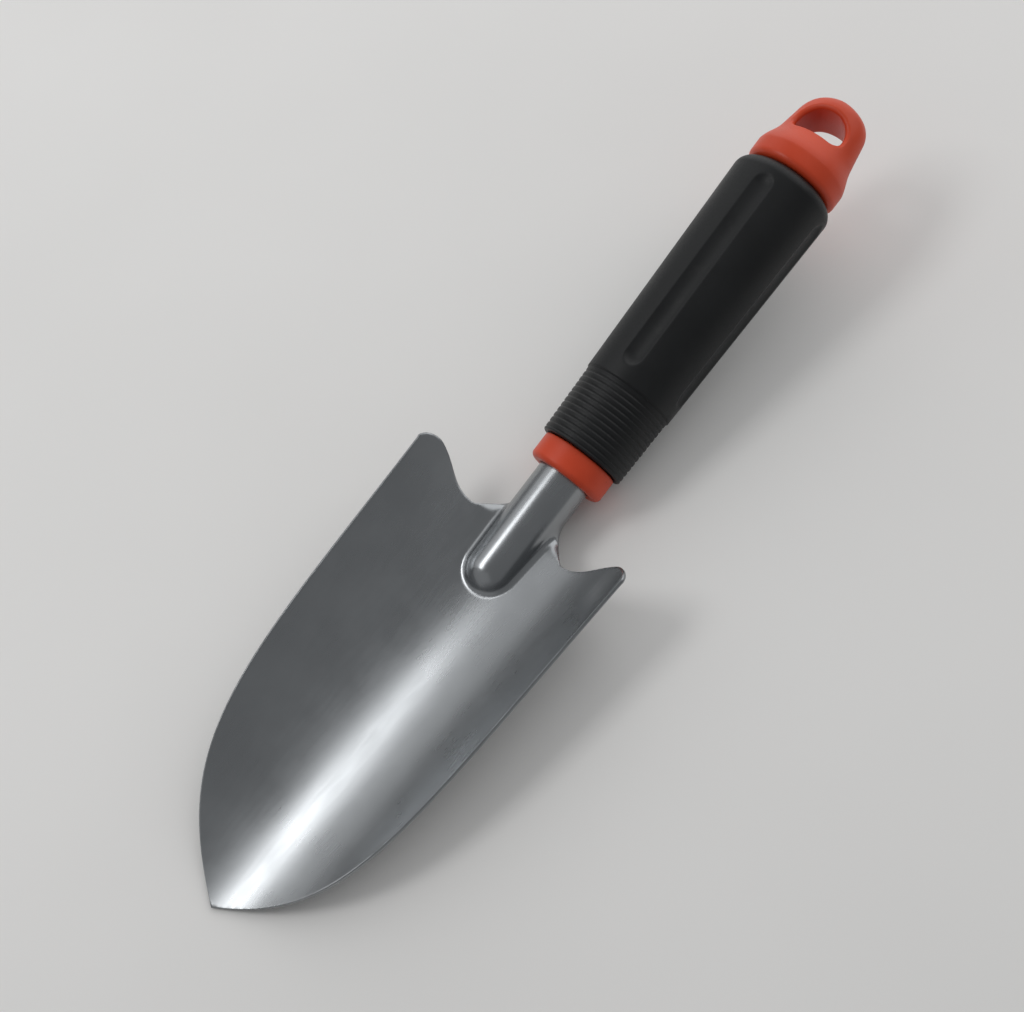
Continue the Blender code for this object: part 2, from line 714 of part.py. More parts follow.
def make_cap(paint, parts, cutters, rest):
    """Plug, rim, body and hanging loop in one moulding."""
    cap = add_object("end_cap", loft_mesh("end_cap", cap_rings()), parts, rest)
    cap.data.materials.append(paint)
    hole = cutter("hang_hole", loft_mesh("hang_hole", hole_rings()), cutters, rest)
    combine(cap, hole, "DIFFERENCE")
    bake(cap)
    return cap


def lay_down(rest, pieces):
    """Tips the tool onto its tip and the front of its grip, and centres it over the ground."""
    front_depth = (grip_radius(GRIP_X) - RING_DROP) * math.cos(HALF_FACET)
    front_x = GRIP_X + GRIP_FRONT_EDGE
    rise = pan_floor(TIP_X) - SHEET + front_depth
    rest.rotation_euler = (0, -math.atan2(rise, front_x - TIP_X), 0)
    bpy.context.view_layer.update()
    corners = [p.matrix_world @ v.co for p in pieces for v in p.data.vertices]
    low = Vector([min(c[k] for c in corners) for k in range(3)])
    high = Vector([max(c[k] for c in corners) for k in range(3)])
    rest.location = (-(low.x + high.x) / 2, 0, -low.z)
    bpy.context.view_layer.update()


def main():
    for old in list(bpy.data.objects):
        bpy.data.objects.remove(old)
    scene = bpy.context.scene
    parts = bpy.data.collections.new("garden_trowel")
    cutters = bpy.data.collections.new("cutters")
    scene.collection.children.link(parts)
    scene.collection.children.link(cutters)
    rest = bpy.data.objects.new("rest_frame", None)
    scene.collection.objects.link(rest)

    steel = material("blade_steel", (0.42, 0.44, 0.45), 0.35, 1.0)
    pin_steel = material("pin_steel", (0.5, 0.5, 0.5), 0.4, 1.0)
    orange = material("orange_plastic", (0.52, 0.07, 0.03), 0.45, 0.0)
    cap_orange = material("cap_orange_plastic", (0.52, 0.07, 0.03), 0.45, 0.0)
    core_plastic = material("core_plastic", (0.05, 0.05, 0.05), 0.6, 0.0)
    rubber = material("black_rubber", (0.015, 0.016, 0.017), 0.6, 0.0)

    pieces = [
        make_blade(steel, parts, cutters, rest),
        make_pin(pin_steel, parts, rest),
        make_collar(orange, parts, rest),
        make_core(core_plastic, parts, cutters, rest),
        make_grip(rubber, parts, cutters, rest),
        make_cap(cap_orange, parts, cutters, rest),
    ]
    lay_down(rest, pieces)


main()
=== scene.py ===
import math

import bmesh
import bpy
from mathutils import Matrix, Vector
from mathutils.geometry import interpolate_bezier, intersect_point_line
from mathutils.kdtree import KDTree


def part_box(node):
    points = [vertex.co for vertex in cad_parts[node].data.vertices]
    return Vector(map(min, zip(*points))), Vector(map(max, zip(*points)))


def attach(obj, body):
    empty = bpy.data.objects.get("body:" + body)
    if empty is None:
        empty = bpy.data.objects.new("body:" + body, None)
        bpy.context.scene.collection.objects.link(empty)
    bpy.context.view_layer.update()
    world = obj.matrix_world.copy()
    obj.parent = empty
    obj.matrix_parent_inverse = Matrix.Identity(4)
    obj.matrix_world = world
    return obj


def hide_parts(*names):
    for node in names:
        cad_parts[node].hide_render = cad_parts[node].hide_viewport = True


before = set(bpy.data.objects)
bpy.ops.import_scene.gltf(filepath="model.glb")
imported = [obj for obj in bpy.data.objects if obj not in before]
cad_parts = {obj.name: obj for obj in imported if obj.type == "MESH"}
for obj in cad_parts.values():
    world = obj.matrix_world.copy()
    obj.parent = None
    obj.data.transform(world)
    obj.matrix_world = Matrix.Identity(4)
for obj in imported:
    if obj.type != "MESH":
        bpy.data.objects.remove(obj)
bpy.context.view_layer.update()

# The pieces are made in the tool's own layout: X runs from the blade's tip towards the hanging
# loop, the blade's hollow side is up, and the origin is on the handle's axis at the collar's
# front face. place_of_tool() puts that layout into the frame.

MM = 0.001
# Play between pieces that fit together
FIT = 0.3 * MM

# Blade in plan
BLADE_LENGTH = 150.5 * MM
SHOULDER_HALF_WIDTH = 40.0 * MM
HORN_RADIUS = 3.8 * MM
HORN_SLANT = math.radians(28)
NOTCH_DEPTH = 9.5 * MM
NOTCH_HALF_WIDTH = 18.0 * MM
NECK_LENGTH = 12.8 * MM
# Handles of the side's curve as shares of the blade's length and half width, and of the rear
# edge's curve as a share of its own length
POINT_PULL = (0.166, 1.0)
SIDE_PULL = (0.387, 0.892)
REAR_PULL = 0.4

# Blade in section, with edges that are rounded over the whole thickness of the sheet
SHEET = 1.2 * MM
RIM = 0.2 * MM
TROUGH_RADIUS = 55.0 * MM
HEEL_HEIGHT = -0.4 * MM
TIP_LIFT = 17.0 * MM
FLOOR_BOW = 0.8 * MM

# Neck and tang, wrapped so far round the handle's axis on each side of the crest
NECK_RADIUS = 8.8 * MM
NECK_REACH = 13.2 * MM
NECK_FILLET = 3.2 * MM
NECK_WRAP = math.radians(112)
NOTCH_ROUND = 11.4 * MM
TANG_LENGTH = 70.0 * MM
TANG_END_RADIUS = 5.5 * MM
PIN_RADIUS = 2.0 * MM
PIN_FROM_TANG_END = 25.0 * MM
PIN_HEIGHT = 1.5 * MM

# Collar
COLLAR_LENGTH = 8.5 * MM
COLLAR_RADIUS = 12.85 * MM
COLLAR_EDGE = 1.8 * MM
COLLAR_REAR_EDGE = 0.5 * MM
COLLAR_LEAD_IN = 0.5 * MM
SPIGOT_LENGTH = 5.5 * MM

# Grip
GRIP_LENGTH = 106.9 * MM
GRIP_FRONT_RADIUS = 14.8 * MM
GRIP_REAR_RADIUS = 17.5 * MM
GRIP_WALL = 3.6 * MM
GRIP_FRONT_EDGE = 0.7 * MM
GRIP_REAR_EDGE = 4.2 * MM
GRIP_LIP = 2.7 * MM
RING_COUNT = 12
RING_PITCH = 1.92 * MM
RING_DEPTH = 0.28 * MM
RING_DROP = 0.3 * MM
# Place of a groove's middle and its reach to each side, as shares of the pitch
RING_GROOVE = 0.15
RING_GROOVE_REACH = 0.3
FLUTE_COUNT = 4
FLUTE_START = 29.0 * MM
FLUTE_LENGTH = 72.0 * MM
FLUTE_WIDTH = 7.8 * MM
FLUTE_DEPTH = 1.1 * MM
FLUTE_SOFTNESS = 0.14 * MM

# End cap. A power over 2 makes a round squarer than an oval.
PLUG_RADIUS = 8.0 * MM
PLUG_LENGTH = 22.0 * MM
PLUG_CHAMFER = 0.8 * MM
CAP_RADIUS = 15.9 * MM
CAP_FRONT_EDGE = 2.3 * MM
CAP_RIM_LENGTH = 6.4 * MM
CAP_LENGTH = 30.66 * MM
ROOT_HALF_WIDTH = 14.9 * MM
LOOP_HALF_WIDTH = 12.2 * MM
WIDTH_FLARE_LENGTH = 7.5 * MM
ROOT_HALF_DEPTH = 12.0 * MM
LOOP_HALF_DEPTH = 8.7 * MM
DEPTH_FLARE_LENGTH = 10.0 * MM
END_ROUND_LENGTH = 8.4 * MM
END_ROUND_POWER = 2.5
END_EDGE = 4.0 * MM
HOLE_FROM_CAP_FRONT = 15.0 * MM
HOLE_BOW = 0.3 * MM
STRAP = 6.2 * MM
HOLE_HALF_WIDTH = 7.8 * MM
HOLE_CORNER = 2.0 * MM
HOLE_ARCH_POWER = 2.2
HOLE_DRAFT = math.radians(3)
HOLE_EDGE = 1.3 * MM
# Turn by which the hole's rounded edge stops short of the body's slope, so that it cuts cleanly
HOLE_EDGE_LEFT = math.radians(4)

# Counts and spacing of the meshes' points: the pan's rows from the tip, its columns from the
# centre line, and the neck
FRONT_ROWS = 64
FRONT_CROWDING = 1.25
NOSE_ROWS = 40
HEEL_ROWS = 22
CREST_COLUMNS = 26
CREST_TURN = math.radians(72)
FILLET_COLUMNS = 14
FILLET_COVER = 0.75
HEEL_COVER = 1.5
FLAT_COLUMNS = 10
WING_COLUMNS = 32
NECK_TURN_ROWS = 30
NECK_ROWS = 8
SECTION_STEPS = 260
SIDE_STEPS = 400
REAR_STEPS = 80
HORN_STEPS = 40
PIN_HOLE_STEPS = 48
# Collar and grip, round the axis and along their outlines
ROUND_STEPS = 160
COLLAR_SIDE_STEPS = 6
COLLAR_LEAD_STEPS = 6
COLLAR_REAR_STEPS = 8
COLLAR_EDGE_STEPS = 16
GRIP_FRONT_STEPS = 8
GRIP_REAR_STEPS = 18
RING_STEPS = 14
RING_DROP_TURNS = [math.radians(degrees) for degrees in (15, 30, 45, 60, 75)]
PLAIN_STEPS = 6
FLUTE_STEPS = 30
# Flutes: clear length past an end, length of an end, and angles between which the edges lie
FLUTE_CLEAR = 1.0 * MM
FLUTE_END = 9.0 * MM
FLUTE_EDGE_START = math.radians(8.5)
FLUTE_EDGE_STOP = math.radians(16)
FLUTE_MIDDLE_TURNS = 6
FLUTE_EDGE_TURNS = 14
FLUTE_GAP_TURNS = 9
# Cap, round its rings and from one to the next, and its hole
CAP_STEPS = 144
CAP_EDGE_STEPS = 18
CAP_RIM_RINGS = 6
BODY_RINGS = 40
BODY_CROWDING = 1.2
END_RINGS = 30
HOLE_FRONT_STEPS = 16
HOLE_CORNER_STEPS = 14
HOLE_ARCH_STEPS = 30
HOLE_EDGE_STEPS = 12
# Points nearer than this become one
WELD = 0.004 * MM
# Places of the points over a rounded rim, as shares of its width, at even turns
RIM_SHARES = (0.691, 0.412, 0.191, 0.049, 0.0)
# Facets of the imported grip, which lies on one of them, and what keeps the round grip above it
CAD_FACETS = 40
FACET_SLACK = 0.05 * MM

# Places along the tool
SHOULDER_X = -NECK_LENGTH
TIP_X = SHOULDER_X - BLADE_LENGTH
NOTCH_X = SHOULDER_X - NOTCH_DEPTH
NOSE_X = NOTCH_X - NECK_REACH
HEEL_X = NOSE_X - NECK_RADIUS - HEEL_COVER * NECK_FILLET
GRIP_X = COLLAR_LENGTH + FIT
GRIP_END_X = GRIP_X + GRIP_LENGTH
SPIGOT_END_X = GRIP_X + SPIGOT_LENGTH
CORE_X = SPIGOT_END_X + FIT
CAP_X = GRIP_END_X + FIT
PIN_X = TANG_LENGTH - PIN_FROM_TANG_END
RIM_END_X = CAP_X + CAP_RIM_LENGTH
LOOP_END_X = CAP_X + CAP_LENGTH
END_ROUND_X = LOOP_END_X - END_ROUND_LENGTH
HOLE_X = CAP_X + HOLE_FROM_CAP_FRONT
HOLE_END_X = LOOP_END_X - STRAP

# Where most of a noise's values lie, and a little beyond
NOISE_SPAN = (0.3, 0.7)
WIDE_SPAN = (0.28, 0.72)

# Steel: how strongly stains, the dulled rim and the smoother neck show
STEEL_DARK = (0.295, 0.306, 0.316)
STEEL_LIGHT = (0.325, 0.337, 0.348)
STEEL_ROUGHNESS = 0.29
PIN_DARK = (0.42, 0.42, 0.42)
PIN_LIGHT = (0.52, 0.52, 0.52)
PIN_ROUGHNESS = 0.38
GRAIN_STRETCH = (1, 20, 20)
GRAIN_ROUGHNESS = 0.012
STAIN_STRETCH = (0.6, 1, 1)
STAIN_SHADE = 0.82
STAIN_COLOUR = 0.12
STAIN_ROUGHNESS = 0.03
RIM_REACH = 1.2 * MM
RIM_SHADE = 0.8
RIM_ROUGHNESS = 0.1
NECK_ROUGHNESS = -0.03

# Plastics: how strongly rubbed edges and specks show
ORANGE_DEEP = (0.55, 0.055, 0.018)
ORANGE_BRIGHT = (0.63, 0.069, 0.025)
ORANGE_WORN = (0.68, 0.11, 0.05)
ORANGE_ROUGHNESS = 0.4
CORE_DEEP = (0.045, 0.045, 0.047)
CORE_BRIGHT = (0.06, 0.06, 0.062)
CORE_WORN = (0.1, 0.1, 0.1)
CORE_ROUGHNESS = 0.5
RUB_COLOUR = 0.4
SPECK_SHADE = 0.45
SPECK_COLOUR = 0.45

# Rubber: how strongly dust and lint show
RUBBER_DEEP = (0.0045, 0.005, 0.0056)
RUBBER_BRIGHT = (0.007, 0.0078, 0.0086)
RUBBER_DUST = (0.045, 0.044, 0.041)
GROOVE_DUST = 0.12
LINT_DUST = 0.2
DUST_ROUGHNESS = 0.25

# Studio, in metres
FLOOR_HALF_SIZE = 12.0
FLOOR_DARK = (0.8, 0.79, 0.775)
FLOOR_LIGHT = (0.83, 0.82, 0.805)
WORLD_COLOUR = (0.27, 0.275, 0.28)
# Each lamp's place as degrees from straight over the tool, aside to the tool's left and ahead
# towards its tip, then its distance, its size across and along the tool, and its brightness
SOFTBOXES = (
    ("key", 33, 14, 1.0, (0.26, 0.5), 5.0),
    ("halo", 50, 2, 1.2, (0.8, 1.3), 0.5),
    ("rear_panel", 26, -60, 1.3, (3.0, 1.5), 1.15),
    ("front_panel", 40, 64, 1.3, (2.6, 1.2), 0.15),
)
LIT_POINT = Vector((-60 * MM, 0, 20 * MM))

# The camera stands over the blade, off to the tool's right: distance to the aim point, lens,
# lean towards the tip, turn about the handle's axis, and roll in the picture.
CAMERA_DISTANCE = 455.921 * MM
CAMERA_LENS_PIXELS = 1481.923
CAMERA_LEAN = 0.0621031
CAMERA_TURN = 0.4014257
CAMERA_ROLL = 0.00325433
CLIP_START = 0.01
PICTURE_WIDTH = 1024
PICTURE_CENTRE = (512, 506)
AIM_PIXEL = (563.611, 479.193)
HANDLE_DIRECTION = (0.609, -0.793)
SENSOR = 36.0


def spread(start, end, steps):
    """Evenly spaced values after start, up to and including end."""
    return [start + (end - start) * k / steps for k in range(1, steps + 1)]


def arc(along, radius, size, start, end, steps):
    """Points of an arc about (along, radius), with angles from the +X direction."""
    turns = [math.radians(start + (end - start) * k / steps) for k in range(steps + 1)]
    return [(along + size * math.cos(a), radius + size * math.sin(a)) for a in turns]


def running_lengths(points):
    """Running length at each point of a polyline."""
    lengths = [0]
    for a, b in zip(points, points[1:]):
        lengths.append(lengths[-1] + (b - a).length)
    return lengths


def at_length(points, lengths, length):
    """Point at a length along a polyline."""
    low, high = 0, len(points) - 1
    while high - low > 1:
        middle = (low + high) // 2
        if lengths[middle] <= length:
            low = middle
        else:
            high = middle
    span = lengths[high] - lengths[low]
    share = min(1, (length - lengths[low]) / span) if span else 0
    return points[low].lerp(points[high], share)


def at_share(points, share):
    """Point at a share of a polyline's length."""
    lengths = running_lengths(points)
    return at_length(points, lengths, share * lengths[-1])


def pan_floor(x):
    """Height of the pan's hollow side on its centre line."""
    share = (SHOULDER_X - x) / BLADE_LENGTH
    return HEEL_HEIGHT + TIP_LIFT * share + 4 * FLOOR_BOW * share * (1 - share)


def blade_height(x, y):
    """Height of the blade's hollow side, with the neck's half round and its fillet."""
    pan = pan_floor(x) + TROUGH_RADIUS - math.sqrt(TROUGH_RADIUS ** 2 - y ** 2)
    if pan >= NECK_RADIUS:
        return pan
    away = math.hypot(min(x - NOSE_X, 0), y)
    reach = NECK_RADIUS + NECK_FILLET
    fillet_centre = math.sqrt(reach ** 2 - (pan + NECK_FILLET) ** 2)
    if away >= fillet_centre:
        return pan
    if away > NECK_RADIUS * fillet_centre / reach:
        return pan + NECK_FILLET - math.sqrt(NECK_FILLET ** 2 - (away - fillet_centre) ** 2)
    return math.sqrt(NECK_RADIUS ** 2 - away ** 2)


def horn_point(angle):
    """Point on the rounded end of a shoulder."""
    centre = Vector((SHOULDER_X - HORN_RADIUS, SHOULDER_HALF_WIDTH - HORN_RADIUS))
    return centre + HORN_RADIUS * Vector((math.cos(angle), math.sin(angle)))


def horn_middle():
    """Angle at the middle of a shoulder's rounded end."""
    return (math.pi / 2 - HORN_SLANT) / 2


def pulled(shares):
    """Offset from the tip, from shares of the blade's length and half width."""
    return Vector((shares[0] * BLADE_LENGTH, shares[1] * SHOULDER_HALF_WIDTH))


def side_edge():
    """Plan outline of one side, from the tip to the middle of the shoulder's round end."""
    tip = Vector((TIP_X, 0))
    shoulder = Vector((SHOULDER_X, SHOULDER_HALF_WIDTH))
    handles = (tip + pulled(POINT_PULL), tip + pulled(SIDE_PULL))
    side = interpolate_bezier(tip, *handles, shoulder, SIDE_STEPS)
    side = [p.xy for p in side if p.x < SHOULDER_X - HORN_RADIUS]
    turn = [math.pi / 2] + spread(math.pi / 2, horn_middle(), HORN_STEPS)
    return side + [horn_point(a) for a in turn]


def rear_edge():
    """Plan outline from the bottom of the notch to the middle of the shoulder's round end."""
    notch = Vector((NOTCH_X, NOTCH_HALF_WIDTH))
    end = horn_point(-HORN_SLANT)
    pull = REAR_PULL * (end - notch).length
    slant = Vector((math.sin(HORN_SLANT), math.cos(HORN_SLANT)))
    handles = (notch + Vector((0, pull)), end - pull * slant)
    edge = interpolate_bezier(notch, *handles, end, REAR_STEPS)
    turn = spread(-HORN_SLANT, horn_middle(), HORN_STEPS)
    return [p.xy for p in edge] + [horn_point(a) for a in turn]


def half_width(side, x):
    """Half width of the pan at a station in front of the shoulders."""
    for a, b in zip(side, side[1:]):
        if a.x <= x <= b.x:
            return a.y + (b.y - a.y) * (x - a.x) / (b.x - a.x)
    return side[0].y if x < side[0].x else side[-1].y


def strip_columns():
    """Distances from the centre line of the lines of points that run into the neck."""
    turns = [0] + spread(0, CREST_TURN, CREST_COLUMNS)
    crest = [NECK_RADIUS * math.sin(turn) for turn in turns]
    foot = NECK_RADIUS + FILLET_COVER * NECK_FILLET
    fillet = spread(crest[-1], foot, FILLET_COLUMNS)
    flat = spread(foot, NOTCH_HALF_WIDTH - RIM, FLAT_COLUMNS)
    return crest + fillet + flat + [NOTCH_HALF_WIDTH - RIM * share for share in RIM_SHARES]


def wing_shares(full):
    """Shares of the wing's width at its lines of points, with some over the rounded rim."""
    width = full - NOTCH_HALF_WIDTH
    return spread(0, 1 - RIM / width, WING_COLUMNS) + [1 - RIM * s / width for s in RIM_SHARES]


def pan_rows():
    """Stations of the pan from the tip to the bottom of the notches."""
    front = [(k / FRONT_ROWS) ** FRONT_CROWDING for k in range(1, FRONT_ROWS + 1)]
    rows = [TIP_X + RIM * share for share in reversed(RIM_SHARES)]
    rows += [TIP_X + RIM + (HEEL_X - TIP_X - RIM) * share for share in front]
    rows += spread(HEEL_X, NOSE_X, NOSE_ROWS)
    rows += spread(NOSE_X, NOTCH_X - RIM, HEEL_ROWS)
    return rows + [NOTCH_X - RIM * share for share in RIM_SHARES]


def heel_patch(u, v, inner, outer, rear, full):
    """Blend of the four edges of the wing between the heel line and the shoulder."""
    front = Vector((HEEL_X, NOTCH_HALF_WIDTH + (full - NOTCH_HALF_WIDTH) * v))
    across = inner.lerp(outer, v)
    along = front.lerp(at_share(rear, v), u)
    corner_front = Vector((HEEL_X, NOTCH_HALF_WIDTH)).lerp(Vector((HEEL_X, full)), v)
    corner_rear = rear[0].lerp(rear[-1], v)
    return across + along - corner_front.lerp(corner_rear, u)


def pan_points():
    """Plan points of half the pan, row by row from the tip and from the centre line outwards."""
    side, rear = side_edge(), rear_edge()
    full = half_width(side, HEEL_X)
    wing = wing_shares(full)
    heel_side = [p for p in side if p.x > HEEL_X or p is side[-1]]
    heel_side.insert(0, Vector((HEEL_X, full)))
    rows = []
    for x in pan_rows():
        shrink = min(1, half_width(side, x) / full)
        row = [Vector((x, y * shrink)) for y in strip_columns()]
        inner = row[-1]
        if x <= HEEL_X:
            row += [Vector((x, inner.y + (half_width(side, x) - inner.y) * v)) for v in wing]
        else:
            u = (x - HEEL_X) / (NOTCH_X - HEEL_X)
            outer = at_share(heel_side, u)
            row += [heel_patch(u, v, inner, outer, rear, full) for v in wing]
        rows.append(row)
    return rows


def tube_point(girth, radius):
    """Point at a girth from the crest of a tube about the handle's axis."""
    return Vector((radius * math.sin(girth / radius), radius * math.cos(girth / radius)))


def tang_radius(x):
    """Outer radius of the neck and tang behind the notches."""
    share = max(0, (x - CORE_X) / (TANG_LENGTH - CORE_X))
    return NECK_RADIUS + (TANG_END_RADIUS - NECK_RADIUS) * share


def neck_rows():
    """Points of half the neck and tang, from behind the notches to the tang's end."""
    girths = running_lengths([Vector((y, blade_height(NOTCH_X, y))) for y in strip_columns()])
    wrapped = NECK_RADIUS * NECK_WRAP
    turn_end = NOTCH_X + NOTCH_ROUND
    widths = [0] + spread(0, NOTCH_HALF_WIDTH, SECTION_STEPS)
    rows = []
    for angle in spread(0, math.pi / 2, NECK_TURN_ROWS):
        share = 1 - math.cos(angle)
        x = NOTCH_X + (turn_end - NOTCH_X) * share
        edge = wrapped + (girths[-1] - wrapped) * (1 - math.sin(angle))
        section = [Vector((y, blade_height(x, y))) for y in widths]
        lengths = running_lengths(section)
        blend = share * share * (3 - 2 * share)
        row = []
        for girth in girths:
            reach = girth * edge / girths[-1]
            flared = at_length(section, lengths, min(reach, lengths[-1]))
            p = flared.lerp(tube_point(reach, NECK_RADIUS), blend)
            row.append(Vector((x, p.x, p.y)))
        rows.append(row)
    stations = spread(turn_end, CORE_X, NECK_ROWS) + spread(CORE_X, TANG_LENGTH - RIM, NECK_ROWS)
    stations += [TANG_LENGTH - RIM * share for share in RIM_SHARES]
    for x in stations:
        radius = tang_radius(x)
        row = [tube_point(g / girths[-1] * NECK_WRAP * radius, radius) for g in girths]
        rows.append([Vector((x, p.x, p.y)) for p in row])
    return rows


def rim_distance(point, tree, corners):
    """Distance from a point to the sheet's outline."""
    _, index, gap = tree.find(point)
    if gap > SHOULDER_HALF_WIDTH / 2:
        return gap
    before, corner, after = corners[index]
    best = gap
    for other in (before, after):
        foot, share = intersect_point_line(point, corner, other)
        if 0 <= share <= 1:
            best = min(best, (point - foot).length)
    return best


def sheet_surface():
    """Hollow side of the blade, both halves, with its normals up."""
    rows = [[Vector((p.x, p.y, blade_height(p.x, p.y))) for p in row] for row in pan_points()]
    rows += neck_rows()
    sheet = bmesh.new()
    grid = [[sheet.verts.new(p) for p in row] for row in rows]
    for near, far in zip(grid, grid[1:]):
        for k in range(min(len(near), len(far)) - 1):
            sheet.faces.new((near[k], far[k], far[k + 1], near[k + 1]))
    whole = sheet.verts[:] + sheet.edges[:] + sheet.faces[:]
    bmesh.ops.mirror(sheet, geom=whole, axis="Y", merge_dist=WELD)
    bmesh.ops.remove_doubles(sheet, verts=sheet.verts, dist=WELD)
    bmesh.ops.dissolve_degenerate(sheet, edges=sheet.edges, dist=WELD / 2)
    bmesh.ops.recalc_face_normals(sheet, faces=sheet.faces)
    if sum(f.normal.z * f.calc_area() for f in sheet.faces) < 0:
        bmesh.ops.reverse_faces(sheet, faces=sheet.faces)
    sheet.normal_update()
    sheet.verts.index_update()
    return sheet


def make_blade():
    """Pan, neck and tang as one sheet with rounded edges, and the pin's hole through the tang."""
    sheet = sheet_surface()
    rim = [v for v in sheet.verts if v.is_boundary]
    tree = KDTree(len(rim))
    corners = []
    for k, v in enumerate(rim):
        tree.insert(v.co, k)
        ends = [e.other_vert(v).co.copy() for e in v.link_edges if e.is_boundary]
        corners.append((ends[0], v.co.copy(), ends[1]))
    tree.balance()
    points, lower = [], {}
    for v in sheet.verts:
        gap = rim_distance(v.co, tree, corners)
        inset = max(0, 1 - gap / RIM)
        curl = SHEET / 2 * (1 - math.sqrt(1 - inset * inset))
        points.append(v.co - v.normal * curl)
    for v in sheet.verts:
        if v.is_boundary:
            lower[v.index] = v.index
        else:
            lower[v.index] = len(points)
            curl = (points[v.index] - v.co).length
            points.append(v.co - v.normal * (SHEET - curl))
    faces = [[v.index for v in f.verts] for f in sheet.faces]
    faces += [[lower[k] for k in reversed(face)] for face in faces]
    sheet.free()
    blade = new_piece("blade_sheet", points, faces)
    hole = bmesh.new()
    across = Matrix.Translation((PIN_X, 0, PIN_HEIGHT)) @ Matrix.Rotation(math.pi / 2, 4, "X")
    bmesh.ops.create_cone(
        hole,
        cap_ends=True,
        segments=PIN_HOLE_STEPS,
        radius1=PIN_RADIUS + FIT,
        radius2=PIN_RADIUS + FIT,
        depth=4 * NECK_RADIUS,
        matrix=across,
    )
    cut_away(blade, hole)
    gaps = [rim_distance(v.co, tree, corners) for v in blade.data.vertices]
    store(blade, "edge_distance", gaps)
    return blade


def new_piece(name, points, faces):
    """Smooth-shaded object from points and faces in the tool's layout."""
    mesh = bpy.data.meshes.new(name)
    mesh.from_pydata(points, [], faces)
    mesh.validate()
    mesh.shade_smooth()
    piece = bpy.data.objects.new(name, mesh)
    bpy.context.scene.collection.objects.link(piece)
    return piece


def cut_away(piece, tool_mesh):
    """Takes a closed shape out of a piece, for good."""
    mesh = bpy.data.meshes.new("tool")
    tool_mesh.to_mesh(mesh)
    tool_mesh.free()
    tool = bpy.data.objects.new("tool", mesh)
    bpy.context.scene.collection.objects.link(tool)
    step = piece.modifiers.new("Cut", "BOOLEAN")
    step.operation = "DIFFERENCE"
    step.solver = "EXACT"
    step.object = tool
    bpy.context.view_layer.update()
    whole = piece.evaluated_get(bpy.context.evaluated_depsgraph_get())
    cut = bpy.data.meshes.new_from_object(whole)
    piece.modifiers.clear()
    piece.data = cut
    cut.name = piece.name
    cut.shade_smooth()
    bpy.data.objects.remove(tool)


def store(piece, name, values):
    """Keeps one number per point for the material."""
    attribute = piece.data.attributes.new(name, "FLOAT", "POINT")
    attribute.data.foreach_set("value", values)


def ring_faces(ring_count, size, closed):
    """Faces between rings of equal size, with the last ring joined to the first if closed."""
    faces = []
    for k in range(ring_count if closed else ring_count - 1):
        near, far = k * size, (k + 1) % ring_count * size
        for m in range(size):
            after = (m + 1) % size
            faces.append((near + m, near + after, far + after, far + m))
    return faces


def turned(name, profile, turns, radius_at):
    """Ring-shaped solid from a closed profile, whose radius may change round the axis."""
    points = []
    for along, radius in profile:
        for turn in turns:
            size = radius_at(along, radius, turn)
            points.append(Vector((along, size * math.sin(turn), size * math.cos(turn))))
    return new_piece(name, points, ring_faces(len(profile), len(turns), closed=True))


def plain_radius(along, radius, turn):
    """Radius of a piece that is the same all round."""
    return radius


def make_collar():
    """Ring round the neck, with a spigot that centres the grip's front end."""
    bore = NECK_RADIUS + FIT
    spigot = grip_bore(GRIP_X) - FIT
    rear_x = COLLAR_LENGTH - COLLAR_REAR_EDGE
    rear_radius = COLLAR_RADIUS - COLLAR_REAR_EDGE
    side = ((rear_x, COLLAR_RADIUS), (COLLAR_EDGE, COLLAR_RADIUS))
    front_radius = COLLAR_RADIUS - COLLAR_EDGE
    lead = COLLAR_LEAD_IN
    profile = arc(SPIGOT_END_X - lead, spigot - lead, lead, 0, 90, COLLAR_LEAD_STEPS)
    profile += [(COLLAR_LENGTH + FIT, spigot), (COLLAR_LENGTH, spigot + FIT)]
    profile += arc(rear_x, rear_radius, COLLAR_REAR_EDGE, 0, 90, COLLAR_REAR_STEPS)
    profile += spread_profile(*side, COLLAR_SIDE_STEPS)[:-1]
    profile += arc(COLLAR_EDGE, front_radius, COLLAR_EDGE, 90, 180, COLLAR_EDGE_STEPS)
    profile += arc(lead, bore + lead, lead, 180, 270, COLLAR_LEAD_STEPS)
    profile += [(SPIGOT_END_X - lead, bore), (SPIGOT_END_X, bore + lead)]
    turns = [2 * math.pi * k / ROUND_STEPS for k in range(ROUND_STEPS)]
    return turned("collar_ring", profile, turns, plain_radius)


def spread_profile(start, end, steps):
    """Evenly spaced profile points after start, up to and including end."""
    run, rise = end[0] - start[0], end[1] - start[1]
    return [(start[0] + run * share, start[1] + rise * share) for share in spread(0, 1, steps)]


def grip_radius(x):
    """Outer radius of the grip's plain part."""
    share = (x - GRIP_X) / GRIP_LENGTH
    return GRIP_FRONT_RADIUS + (GRIP_REAR_RADIUS - GRIP_FRONT_RADIUS) * share


def grip_bore(x):
    """Inner radius of the grip."""
    return grip_radius(x) - GRIP_WALL


def ringed_radius(x):
    """Outer radius in the ringed part: grooves with round shoulders and a round bottom."""
    share = (x - GRIP_X - GRIP_FRONT_EDGE) / RING_PITCH
    away = abs((share - RING_GROOVE + 0.5) % 1 - 0.5) / RING_GROOVE_REACH
    groove = RING_DEPTH * (1 + math.cos(math.pi * min(1, away))) / 2
    return grip_radius(x) - RING_DROP - FACET_SLACK - groove


